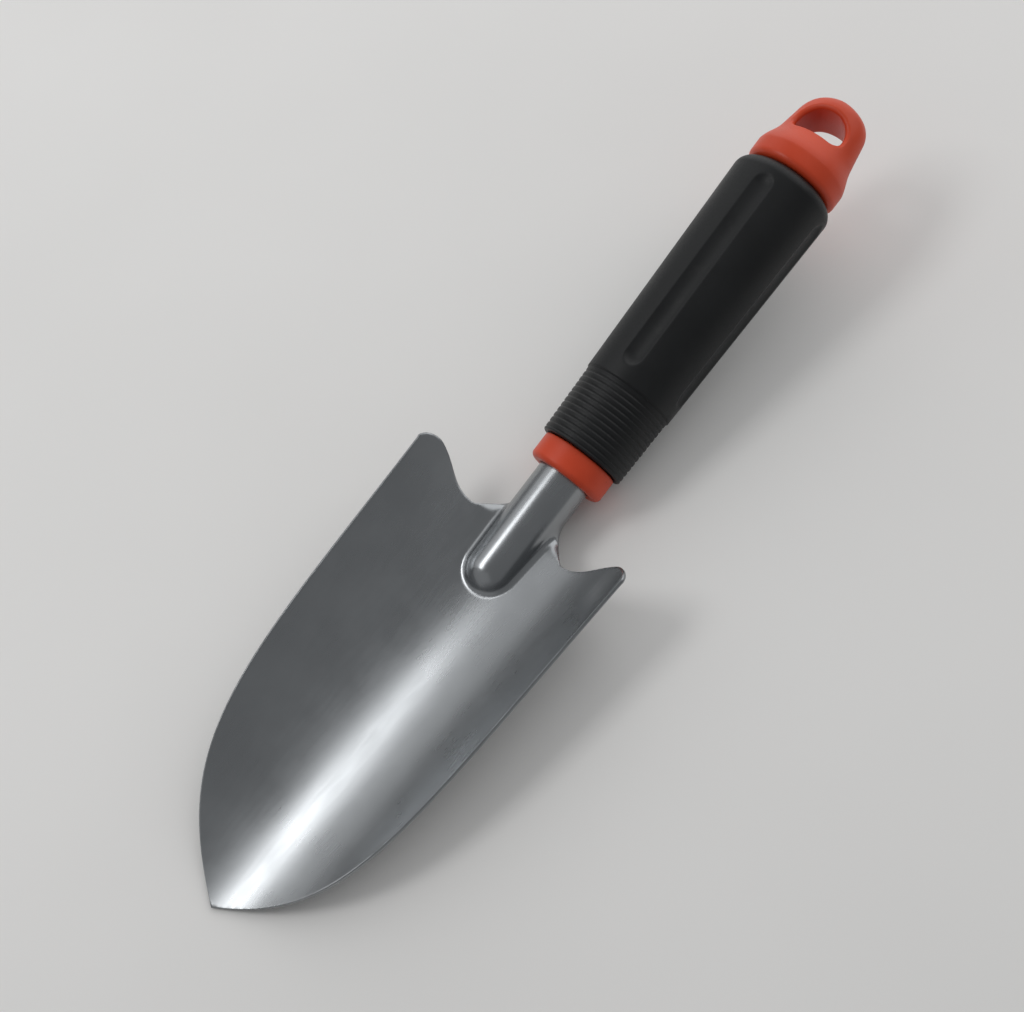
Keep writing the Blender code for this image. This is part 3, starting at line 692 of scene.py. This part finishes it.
def fluted_radius(x, radius, turn):
    """Radius after the flutes, each cut by a long round tool with half-ball ends.

    The bore, which lies below the rings' bottoms, is left as it is.
    """
    if radius < GRIP_FRONT_RADIUS - RING_DROP - RING_DEPTH:
        return radius
    half = FLUTE_WIDTH / 2
    tool = (half ** 2 + FLUTE_DEPTH ** 2) / (2 * FLUTE_DEPTH)
    middle = GRIP_X + FLUTE_START + FLUTE_LENGTH / 2
    past = max(0, abs(x - middle) - (FLUTE_LENGTH - FLUTE_WIDTH) / 2)
    if past >= tool:
        return radius
    reach = math.sqrt(tool ** 2 - past ** 2)
    height = grip_radius(x) - FLUTE_DEPTH + tool
    step = 2 * math.pi / FLUTE_COUNT
    away = abs((turn + step / 2) % step - step / 2)
    if height * math.sin(away) >= reach:
        return radius
    cut = height * math.cos(away) - math.sqrt(reach ** 2 - (height * math.sin(away)) ** 2)
    deep = radius - cut
    return radius - (deep + math.hypot(deep, FLUTE_SOFTNESS)) / 2


def grip_turns():
    """Angles round the grip, closest at the flutes' edges."""
    half_step = math.pi / FLUTE_COUNT
    half = spread(0, FLUTE_EDGE_START, FLUTE_MIDDLE_TURNS)
    half += spread(FLUTE_EDGE_START, FLUTE_EDGE_STOP, FLUTE_EDGE_TURNS)
    half += spread(FLUTE_EDGE_STOP, half_step, FLUTE_GAP_TURNS)
    one = [-a for a in reversed(half[:-1])] + [0] + half
    return [2 * half_step * k + a for k in range(FLUTE_COUNT) for a in one]


def grip_profile():
    """Half section of the grip, from the bore's front end round to the front edge."""
    lip_x = GRIP_END_X - GRIP_LIP
    lip_radius = PLUG_RADIUS + FIT
    rear_x = GRIP_END_X - GRIP_REAR_EDGE
    rear_radius = grip_radius(rear_x) - GRIP_REAR_EDGE
    rings_x = GRIP_X + GRIP_FRONT_EDGE
    rings_end = rings_x + RING_COUNT * RING_PITCH
    flute_x = GRIP_X + FLUTE_START
    flute_end = flute_x + FLUTE_LENGTH
    profile = [(GRIP_X, grip_bore(GRIP_X)), (lip_x, grip_bore(lip_x))]
    profile += [(lip_x, lip_radius), (GRIP_END_X, lip_radius)]
    profile += arc(rear_x, rear_radius, GRIP_REAR_EDGE, 0, 90, GRIP_REAR_STEPS)
    stations = spread(rear_x, flute_end + FLUTE_CLEAR, PLAIN_STEPS)
    stations += spread(flute_end + FLUTE_CLEAR, flute_end - FLUTE_END, FLUTE_STEPS)
    stations += spread(flute_end - FLUTE_END, flute_x + FLUTE_END, FLUTE_STEPS)
    stations += spread(flute_x + FLUTE_END, flute_x - FLUTE_CLEAR, FLUTE_STEPS)
    stations += spread(flute_x - FLUTE_CLEAR, rings_end + RING_DROP, PLAIN_STEPS)
    profile += [(x, grip_radius(x)) for x in stations]
    plain = grip_radius(rings_end)
    for turn in RING_DROP_TURNS:
        drop = RING_DROP * math.sin(turn)
        profile.append((rings_end + RING_DROP * math.cos(turn), plain - drop))
    rings = spread(rings_end, rings_x, RING_COUNT * RING_STEPS)[:-2]
    profile += [(x, ringed_radius(x)) for x in rings]
    edge = grip_radius(GRIP_X) - RING_DROP - FACET_SLACK - GRIP_FRONT_EDGE
    return profile + arc(rings_x, edge, GRIP_FRONT_EDGE, 90, 180, GRIP_FRONT_STEPS)


def make_grip():
    """Soft sleeve with rings round its front end and flutes along its plain part."""
    grip = turned("grip_rubber", grip_profile(), grip_turns(), fluted_radius)
    depths = []
    for v in grip.data.vertices:
        radius = math.hypot(v.co.y, v.co.z)
        depths.append(min(1, max(0, (grip_radius(v.co.x) - radius) / MM)))
    store(grip, "depth", depths)
    return grip


def flared(x, root, end, flare_length):
    """Half size of the cap's body: a straight taper, with a flare where it leaves the rim."""
    share = (x - RIM_END_X) / (END_ROUND_X - RIM_END_X)
    left = max(0, 1 - (x - RIM_END_X) / flare_length)
    return root + (end - root) * share + (CAP_RADIUS - root) * left * left * (3 - 2 * left)


def body_half_width(x):
    """Half width of the cap's body, rounded in plan at the end of the loop."""
    straight = flared(x, ROOT_HALF_WIDTH, LOOP_HALF_WIDTH, WIDTH_FLARE_LENGTH)
    past = min(1, max(0, (x - END_ROUND_X) / END_ROUND_LENGTH))
    return straight * (1 - past ** END_ROUND_POWER) ** (1 / END_ROUND_POWER)


def body_half_depth(x):
    """Half depth of the cap's body, rounded in side view at the end of the loop."""
    straight = flared(x, ROOT_HALF_DEPTH, LOOP_HALF_DEPTH, DEPTH_FLARE_LENGTH)
    past = min(END_EDGE, max(0, x - (LOOP_END_X - END_EDGE)))
    return straight - END_EDGE + math.sqrt(END_EDGE ** 2 - past ** 2)


def body_height(x, y):
    """Height of the body's surface above the plane through the tool's axis."""
    return body_half_depth(x) * math.sqrt(1 - (y / body_half_width(x)) ** 2)


def oval(along, half_width, half_depth):
    """Ring of points across the cap."""
    turns = [2 * math.pi * k / CAP_STEPS for k in range(CAP_STEPS)]
    return [Vector((along, half_width * math.cos(a), half_depth * math.sin(a))) for a in turns]


def cap_rings():
    """Rings of the cap from the plug's front end to the end of the loop."""
    plug_start = CAP_X - PLUG_LENGTH
    edge_x = CAP_X + CAP_FRONT_EDGE
    edge_radius = CAP_RADIUS - CAP_FRONT_EDGE
    circles = [(plug_start, PLUG_RADIUS - PLUG_CHAMFER), (plug_start + PLUG_CHAMFER, PLUG_RADIUS)]
    circles += [(CAP_X - FIT, PLUG_RADIUS), (CAP_X, PLUG_RADIUS + FIT)]
    circles += arc(edge_x, edge_radius, CAP_FRONT_EDGE, 180, 90, CAP_EDGE_STEPS)
    circles += [(x, CAP_RADIUS) for x in spread(edge_x, RIM_END_X, CAP_RIM_RINGS)[:-1]]
    rings = [oval(x, radius, radius) for x, radius in circles]
    shares = [(k / BODY_RINGS) ** BODY_CROWDING for k in range(BODY_RINGS + 1)]
    stations = [RIM_END_X + (END_ROUND_X - RIM_END_X) * share for share in shares]
    turns = spread(0, math.pi / 2, END_RINGS)
    stations += [END_ROUND_X + END_ROUND_LENGTH * math.sin(turn) for turn in turns]
    return rings + [oval(x, body_half_width(x), body_half_depth(x)) for x in stations]


def closed_loft(rings):
    """Closed solid through rings of points. The last ring may shrink to a line."""
    made = bmesh.new()
    verts = [made.verts.new(p) for ring in rings for p in ring]
    for face in ring_faces(len(rings), len(rings[0]), closed=False):
        made.faces.new([verts[k] for k in face])
    bmesh.ops.remove_doubles(made, verts=made.verts, dist=WELD)
    bmesh.ops.holes_fill(made, edges=[e for e in made.edges if e.is_boundary])
    bmesh.ops.recalc_face_normals(made, faces=made.faces)
    return made


def hole_outline():
    """Plan of the hole halfway through the loop, all the way round from its front side."""
    corner_y = HOLE_HALF_WIDTH - HOLE_CORNER
    start = HOLE_X + HOLE_CORNER
    shares = [k / HOLE_FRONT_STEPS for k in range(HOLE_FRONT_STEPS)]
    half = [Vector((HOLE_X + HOLE_BOW * (1 - v * v), corner_y * v)) for v in shares]
    corner = arc(start, corner_y, HOLE_CORNER, 180, 90, HOLE_CORNER_STEPS)
    half += [Vector(p) for p in corner]
    power = 2 / HOLE_ARCH_POWER
    for turn in spread(0, math.pi / 2, HOLE_ARCH_STEPS):
        x = start + (HOLE_END_X - start) * math.sin(turn) ** power
        half.append(Vector((x, HOLE_HALF_WIDTH * max(0, math.cos(turn)) ** power)))
    return half + [Vector((p.x, -p.y)) for p in reversed(half[1:-1])]


def edge_profile(point, outwards, lean):
    """Path from the hole's wall over its rounded edge and clear of the body.

    Its points are distances outwards from the hole's plan and heights over the loop's middle.
    """
    near = point + outwards * HOLE_EDGE / 2
    far = point + outwards * HOLE_EDGE
    height = body_height(*near)
    fall = math.atan2(height - body_height(*far), HOLE_EDGE / 2)
    reach = HOLE_EDGE / 2 * math.sin(fall) + height * math.cos(fall) - HOLE_EDGE
    across = math.cos(lean - fall)
    middle_out = (HOLE_EDGE * math.cos(fall) + reach * math.sin(lean)) / across
    middle_up = (reach * math.cos(lean) - HOLE_EDGE * math.sin(fall)) / across
    last = math.pi / 2 + fall - HOLE_EDGE_LEFT
    path = []
    for turn in [lean] + spread(lean, last, HOLE_EDGE_STEPS):
        out = middle_out - HOLE_EDGE * math.cos(turn)
        path.append((out, middle_up + HOLE_EDGE * math.sin(turn)))
    out = path[-1][0] + HOLE_EDGE * math.sin(last)
    path.append((out, path[-1][1] + HOLE_EDGE * math.cos(last)))
    path.append((out, CAP_RADIUS))
    return path


def hole_rings():
    """Rings of the shape that the hole takes out, from below the loop to above it."""
    outline = hole_outline()
    columns = []
    for k, point in enumerate(outline):
        along = outline[(k + 1) % len(outline)] - outline[k - 1]
        outwards = Vector((-along.y, along.x)).normalized()
        below = edge_profile(point, outwards, -HOLE_DRAFT)
        above = edge_profile(point, outwards, HOLE_DRAFT)
        path = [(out, -up) for out, up in reversed(below)] + above
        places = [(point + outwards * out, up) for out, up in path]
        columns.append([Vector((place.x, place.y, up)) for place, up in places])
    return [list(ring) for ring in zip(*columns)]


def make_cap():
    """Plug, rim, body and hanging loop in one moulding."""
    cap = new_piece("cap_moulding", [], [])
    body = closed_loft(cap_rings())
    body.to_mesh(cap.data)
    body.free()
    cut_away(cap, closed_loft(hole_rings()))
    return cap


def place_of_tool():
    """Where the tool's layout lies in the frame: tipped onto its tip and its grip's front edge."""
    front_depth = (grip_radius(GRIP_X) - RING_DROP) * math.cos(math.pi / CAD_FACETS)
    rise = pan_floor(TIP_X) - SHEET + front_depth
    run = GRIP_X + GRIP_FRONT_EDGE - TIP_X
    lean = Matrix.Rotation(-math.atan2(rise, run), 4, "Y")
    low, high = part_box("tang_pin")
    pin = lean @ Vector((PIN_X, 0, PIN_HEIGHT))
    return Matrix.Translation((low + high) / 2 - pin) @ lean


def shade(colour, share):
    """Darker colour of the same hue."""
    return tuple(share * v for v in colour)


class Shader:
    """A material's nodes, wired by short calls."""

    def __init__(self, name, metallic=0.0, **settings):
        """Starts a material whose coordinates follow the tool's layout, apart from a shift."""
        self.material = bpy.data.materials.new(name)
        self.material.use_nodes = True
        self.nodes = self.material.node_tree.nodes
        self.links = self.material.node_tree.links
        self.principled = self.nodes["Principled BSDF"]
        self.principled.inputs["Metallic"].default_value = metallic
        for key, value in settings.items():
            self.principled.inputs[key.replace("_", " ")].default_value = value
        world = self.nodes.new("ShaderNodeTexCoord").outputs["Object"]
        lean = (0, -tool_place.to_euler().y, 0)
        self.place = self.node("Mapping", {"Vector": world, "Rotation": lean}).outputs["Vector"]

    def node(self, kind, inputs=None, **settings):
        """New node, with each input linked to a socket or set to a value."""
        made = self.nodes.new("ShaderNode" + kind)
        for key, value in settings.items():
            setattr(made, key, value)
        for key, value in (inputs or {}).items():
            if isinstance(value, bpy.types.NodeSocket):
                self.links.new(value, made.inputs[key])
            else:
                made.inputs[key].default_value = value
        return made

    def stretched(self, scale):
        """The material's coordinates, scaled by axis."""
        return self.node("Mapping", {"Vector": self.place, "Scale": scale}).outputs["Vector"]

    def noise(self, scale, detail, roughness=0.5, place=None):
        """Noise from 0 to 1: features per metre, octaves, and how strong the fine ones are."""
        inputs = {"Vector": place or self.place, "Scale": scale}
        inputs.update({"Detail": detail, "Roughness": roughness})
        return self.node("TexNoise", inputs).outputs["Fac"]

    def spots(self, scale, radius, place=None):
        """1 at the middles of scattered cells, 0 past a radius: cells per metre, and radius."""
        inputs = {"Vector": place or self.place, "Scale": scale}
        cells = self.node("TexVoronoi", inputs, feature="F1").outputs["Distance"]
        return self.ranged(cells, radius, 0.0, 0.0, 1.0)

    def ranged(self, value, low, high, out_low, out_high):
        """Smooth step from out_low, where the value is low, to out_high, where it is high."""
        inputs = {"Value": value, "From Min": low, "From Max": high}
        inputs.update({"To Min": out_low, "To Max": out_high})
        made = self.node("MapRange", inputs, interpolation_type="SMOOTHSTEP")
        return made.outputs["Result"]

    def math(self, operation, first, second):
        """Result of an operation on two sockets or numbers."""
        made = self.node("Math", {0: first, 1: second}, operation=operation)
        return made.outputs["Value"]

    def plus(self, first, second):
        """Sum of two sockets or numbers."""
        return self.math("ADD", first, second)

    def times(self, first, second):
        """Product of two sockets or numbers."""
        return self.math("MULTIPLY", first, second)

    def mix(self, share, first, second):
        """Colour between two colours or sockets."""
        made = self.node("Mix", data_type="RGBA")
        for key, value in (("Factor_Float", share), ("A_Color", first), ("B_Color", second)):
            socket = next(s for s in made.inputs if s.identifier == key)
            if isinstance(value, bpy.types.NodeSocket):
                self.links.new(value, socket)
            elif isinstance(value, tuple):
                socket.default_value = (*value, 1)
            else:
                socket.default_value = value
        return next(s for s in made.outputs if s.identifier == "Result_Color")

    def stored(self, name):
        """Number that store() kept for each point."""
        return self.node("Attribute", attribute_name=name).outputs["Fac"]

    def convex(self, low, high):
        """1 on outer corners, 0 on flat and hollow places."""
        pointiness = self.node("NewGeometry").outputs["Pointiness"]
        return self.ranged(pointiness, low, high, 0.0, 1.0)

    def bump(self, height, strength, distance, base=None):
        """Normal of a height that is so many metres deep, on top of another bump if given."""
        inputs = {"Height": height, "Strength": strength, "Distance": distance}
        if base:
            inputs["Normal"] = base
        return self.node("Bump", inputs).outputs["Normal"]

    def finish(self, colour, roughness, normal):
        """Links what varies over the surface to the shader, and gives the material."""
        for key, socket in (("Base Color", colour), ("Roughness", roughness), ("Normal", normal)):
            self.links.new(socket, self.principled.inputs[key])
        return self.material


def shader_x(x):
    """Place along the tool as the materials' coordinates have it."""
    return x - tool_place.inverted().translation.x


def steel_material(name, dark, light, roughness, with_rim):
    """Satin plated steel: lengthwise grain, faint stains and dulled edges."""
    shader = Shader(name, metallic=1.0)
    cloud = shader.noise(28, 4.0, 0.55)
    grain = shader.noise(45, 1.0, 0.4, shader.stretched(GRAIN_STRETCH))
    colour = shader.mix(shader.ranged(cloud, *NOISE_SPAN, 0, 1), dark, light)
    stain = shader.spots(34, 0.5, shader.stretched(STAIN_STRETCH))
    stain = shader.times(stain, shader.ranged(cloud, 0.4, 0.6, 0.3, 1))
    colour = shader.mix(shader.times(stain, STAIN_COLOUR), colour, shade(dark, STAIN_SHADE))
    rough = shader.ranged(cloud, *NOISE_SPAN, roughness - 0.03, roughness + 0.04)
    uneven = shader.ranged(grain, *NOISE_SPAN, -GRAIN_ROUGHNESS, GRAIN_ROUGHNESS)
    rough = shader.plus(rough, uneven)
    rough = shader.plus(rough, shader.times(stain, STAIN_ROUGHNESS))
    if with_rim:
        along = shader.node("SeparateXYZ", {"Vector": shader.place}).outputs["X"]
        neck = shader.ranged(along, shader_x(HEEL_X), shader_x(NOSE_X), 0, NECK_ROUGHNESS)
        rough = shader.plus(rough, neck)
        rim = shader.ranged(shader.stored("edge_distance"), RIM_REACH, 0.0, 0.0, 1.0)
        worn = shader.times(rim, shader.ranged(grain, 0.4, 0.62, 0.1, 0.6))
        colour = shader.mix(worn, colour, shade(dark, RIM_SHADE))
        rough = shader.plus(rough, shader.times(worn, RIM_ROUGHNESS))
    wave = shader.noise(14, 1.0, 0.3)
    normal = shader.bump(wave, 0.2, 0.08 * MM)
    normal = shader.bump(grain, 0.03, 0.01 * MM, normal)
    return shader.finish(colour, rough, normal)


def plastic_material(name, deep, bright, worn, roughness):
    """Moulded plastic: fine texture, uneven gloss, pale rubbed edges and a few specks."""
    shader = Shader(name, Specular_IOR_Level=0.28)
    cloud = shader.noise(45, 4.0, 0.55)
    skin = shader.noise(1900, 2.0, 0.6)
    colour = shader.mix(shader.ranged(cloud, *WIDE_SPAN, 0, 1), deep, bright)
    rub = shader.times(shader.convex(0.52, 0.62), shader.ranged(skin, *NOISE_SPAN, 0.3, 1))
    colour = shader.mix(shader.times(rub, RUB_COLOUR), colour, worn)
    speck = shader.times(shader.spots(420, 0.16), shader.ranged(cloud, 0.5, 0.6, 0, 1))
    colour = shader.mix(shader.times(speck, SPECK_COLOUR), colour, shade(deep, SPECK_SHADE))
    rough = shader.ranged(cloud, *NOISE_SPAN, roughness - 0.05, roughness + 0.06)
    rough = shader.plus(rough, shader.ranged(skin, *NOISE_SPAN, -0.04, 0.04))
    normal = shader.bump(shader.noise(130, 2.0), 0.2, 0.08 * MM)
    normal = shader.bump(skin, 0.16, 0.03 * MM, normal)
    return shader.finish(colour, rough, normal)


def rubber_material(name, deep, bright, dust):
    """Matt black rubber: fine pebbled skin, uneven sheen, and dust down in the grooves."""
    shader = Shader(name, Specular_IOR_Level=0.3)
    cloud = shader.noise(38, 4.0, 0.6)
    skin = shader.noise(1600, 3.0, 0.6)
    colour = shader.mix(shader.ranged(cloud, *WIDE_SPAN, 0, 1), deep, bright)
    low = shader.ranged(shader.stored("depth"), 0.3, 0.9, 0.0, 1.0)
    patch = shader.ranged(shader.noise(240, 3.0), 0.5, 0.72, 0.0, 1.0)
    dusty = shader.times(shader.times(low, patch), GROOVE_DUST)
    lint = shader.times(shader.spots(420, 0.1), shader.ranged(cloud, 0.52, 0.62, 0, 1))
    dusty = shader.math("MAXIMUM", dusty, shader.times(lint, LINT_DUST))
    colour = shader.mix(dusty, colour, dust)
    rough = shader.ranged(cloud, *NOISE_SPAN, 0.42, 0.52)
    rough = shader.plus(rough, shader.ranged(skin, *NOISE_SPAN, -0.04, 0.05))
    rough = shader.plus(rough, shader.times(dusty, DUST_ROUGHNESS))
    normal = shader.bump(shader.noise(90, 2.0), 0.25, 0.12 * MM)
    normal = shader.bump(skin, 0.3, 0.045 * MM, normal)
    return shader.finish(colour, rough, normal)


def floor_material():
    """Pale matt table top."""
    shader = Shader("floor_paint")
    cloud = shader.noise(5, 3.0)
    speckle = shader.noise(900, 2.0)
    colour = shader.mix(shader.ranged(cloud, *NOISE_SPAN, 0, 1), FLOOR_DARK, FLOOR_LIGHT)
    rough = shader.ranged(speckle, *NOISE_SPAN, 0.75, 0.85)
    return shader.finish(colour, rough, shader.bump(speckle, 0.05, 0.02 * MM))


def dress(piece, paint, node):
    """Gives a piece its material and puts it in a CAD node's place."""
    piece.data.transform(tool_place)
    piece.data.materials.clear()
    piece.data.materials.append(paint)
    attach(piece, "root")
    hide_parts(node)


def camera_place():
    """The camera's place in the tool's layout."""
    size = math.hypot(*HANDLE_DIRECTION)
    ahead = Vector(HANDLE_DIRECTION) / size
    aside = Vector((-ahead.y, ahead.x))
    cos_roll, sin_roll = math.cos(CAMERA_ROLL), math.sin(CAMERA_ROLL)
    aside, ahead = aside * cos_roll + ahead * sin_roll, ahead * cos_roll - aside * sin_roll
    cos_lean, sin_lean = math.cos(CAMERA_LEAN), math.sin(CAMERA_LEAN)
    cos_turn, sin_turn = math.cos(CAMERA_TURN), math.sin(CAMERA_TURN)
    tool_side = Vector((0, -cos_turn, -sin_turn))
    tool_rear = Vector((cos_lean, -sin_turn * sin_lean, cos_turn * sin_lean))
    back = Vector((-sin_lean, -sin_turn * cos_lean, cos_turn * cos_lean))
    right = aside.x * tool_side + ahead.x * tool_rear
    up = -(aside.y * tool_side + ahead.y * tool_rear)
    scale = CAMERA_DISTANCE / CAMERA_LENS_PIXELS
    across = (AIM_PIXEL[0] - PICTURE_CENTRE[0]) * scale
    down = (AIM_PIXEL[1] - PICTURE_CENTRE[1]) * scale
    spot = -across * right + down * up + CAMERA_DISTANCE * back
    turned_axes = Matrix((right, up, back)).transposed().to_4x4()
    return Matrix.Translation(spot) @ turned_axes


def add_camera():
    """Camera at the photo's angle, with the photo's framing."""
    data = bpy.data.cameras.new("camera")
    data.sensor_width = SENSOR
    data.lens = CAMERA_LENS_PIXELS / PICTURE_WIDTH * SENSOR
    data.clip_start = CLIP_START
    camera = bpy.data.objects.new("camera", data)
    bpy.context.scene.collection.objects.link(camera)
    camera.matrix_world = tool_place @ camera_place()
    bpy.context.scene.camera = camera


def add_softbox(name, aside, ahead, distance, size, glow):
    """Area lamp that faces the tool. The comment over SOFTBOXES says what the values are."""
    side, lead = math.radians(aside), math.radians(ahead)
    level = math.cos(lead)
    away = Vector((-math.sin(lead), math.sin(side) * level, math.cos(side) * level))
    data = bpy.data.lights.new(name, "AREA")
    data.shape = "RECTANGLE"
    data.size, data.size_y = size[1], size[0]
    data.energy = glow * math.pi * size[0] * size[1]
    lamp = bpy.data.objects.new(name, data)
    bpy.context.scene.collection.objects.link(lamp)
    along = (Vector((1, 0, 0)) - away * away.x).normalized()
    across = away.cross(along)
    facing = Matrix((along, across, away)).transposed().to_4x4()
    lamp.matrix_world = Matrix.Translation(LIT_POINT + away * distance) @ facing


def add_floor():
    """Plain pale floor under the tool."""
    size = FLOOR_HALF_SIZE
    mesh = bpy.data.meshes.new("floor")
    corners = [(-size, -size, 0), (size, -size, 0), (size, size, 0), (-size, size, 0)]
    mesh.from_pydata(corners, [], [(0, 1, 2, 3)])
    floor = bpy.data.objects.new("floor", mesh)
    bpy.context.scene.collection.objects.link(floor)
    mesh.materials.append(floor_material())


def add_world():
    """Even grey surroundings."""
    world = bpy.data.worlds.new("studio")
    bpy.context.scene.world = world
    world.use_nodes = True
    background = world.node_tree.nodes["Background"]
    background.inputs["Color"].default_value = (*WORLD_COLOUR, 1)
    background.inputs["Strength"].default_value = 1.0


tool_place = place_of_tool()
orange = plastic_material(
    "orange_paint", ORANGE_DEEP, ORANGE_BRIGHT, ORANGE_WORN, ORANGE_ROUGHNESS
)
steel = steel_material("steel_paint", STEEL_DARK, STEEL_LIGHT, STEEL_ROUGHNESS, with_rim=True)
pin_paint = steel_material("pin_paint", PIN_DARK, PIN_LIGHT, PIN_ROUGHNESS, with_rim=False)
core_paint = plastic_material("core_paint", CORE_DEEP, CORE_BRIGHT, CORE_WORN, CORE_ROUGHNESS)
rubber = rubber_material("rubber_paint", RUBBER_DEEP, RUBBER_BRIGHT, RUBBER_DUST)

dress(make_blade(), steel, "blade")
dress(make_collar(), orange, "front_collar")
dress(make_grip(), rubber, "grip_sleeve")
dress(make_cap(), orange, "end_cap")
for node, paint, slot in (
    ("tang_pin", pin_paint, "pin_steel"),
    ("handle_core", core_paint, "core_plastic"),
):
    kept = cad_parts[node]
    kept.material_slots[0].material = paint

add_camera()
add_floor()
add_world()
for softbox in SOFTBOXES:
    add_softbox(*softbox)

bpy.context.scene.view_settings.view_transform = "Standard"
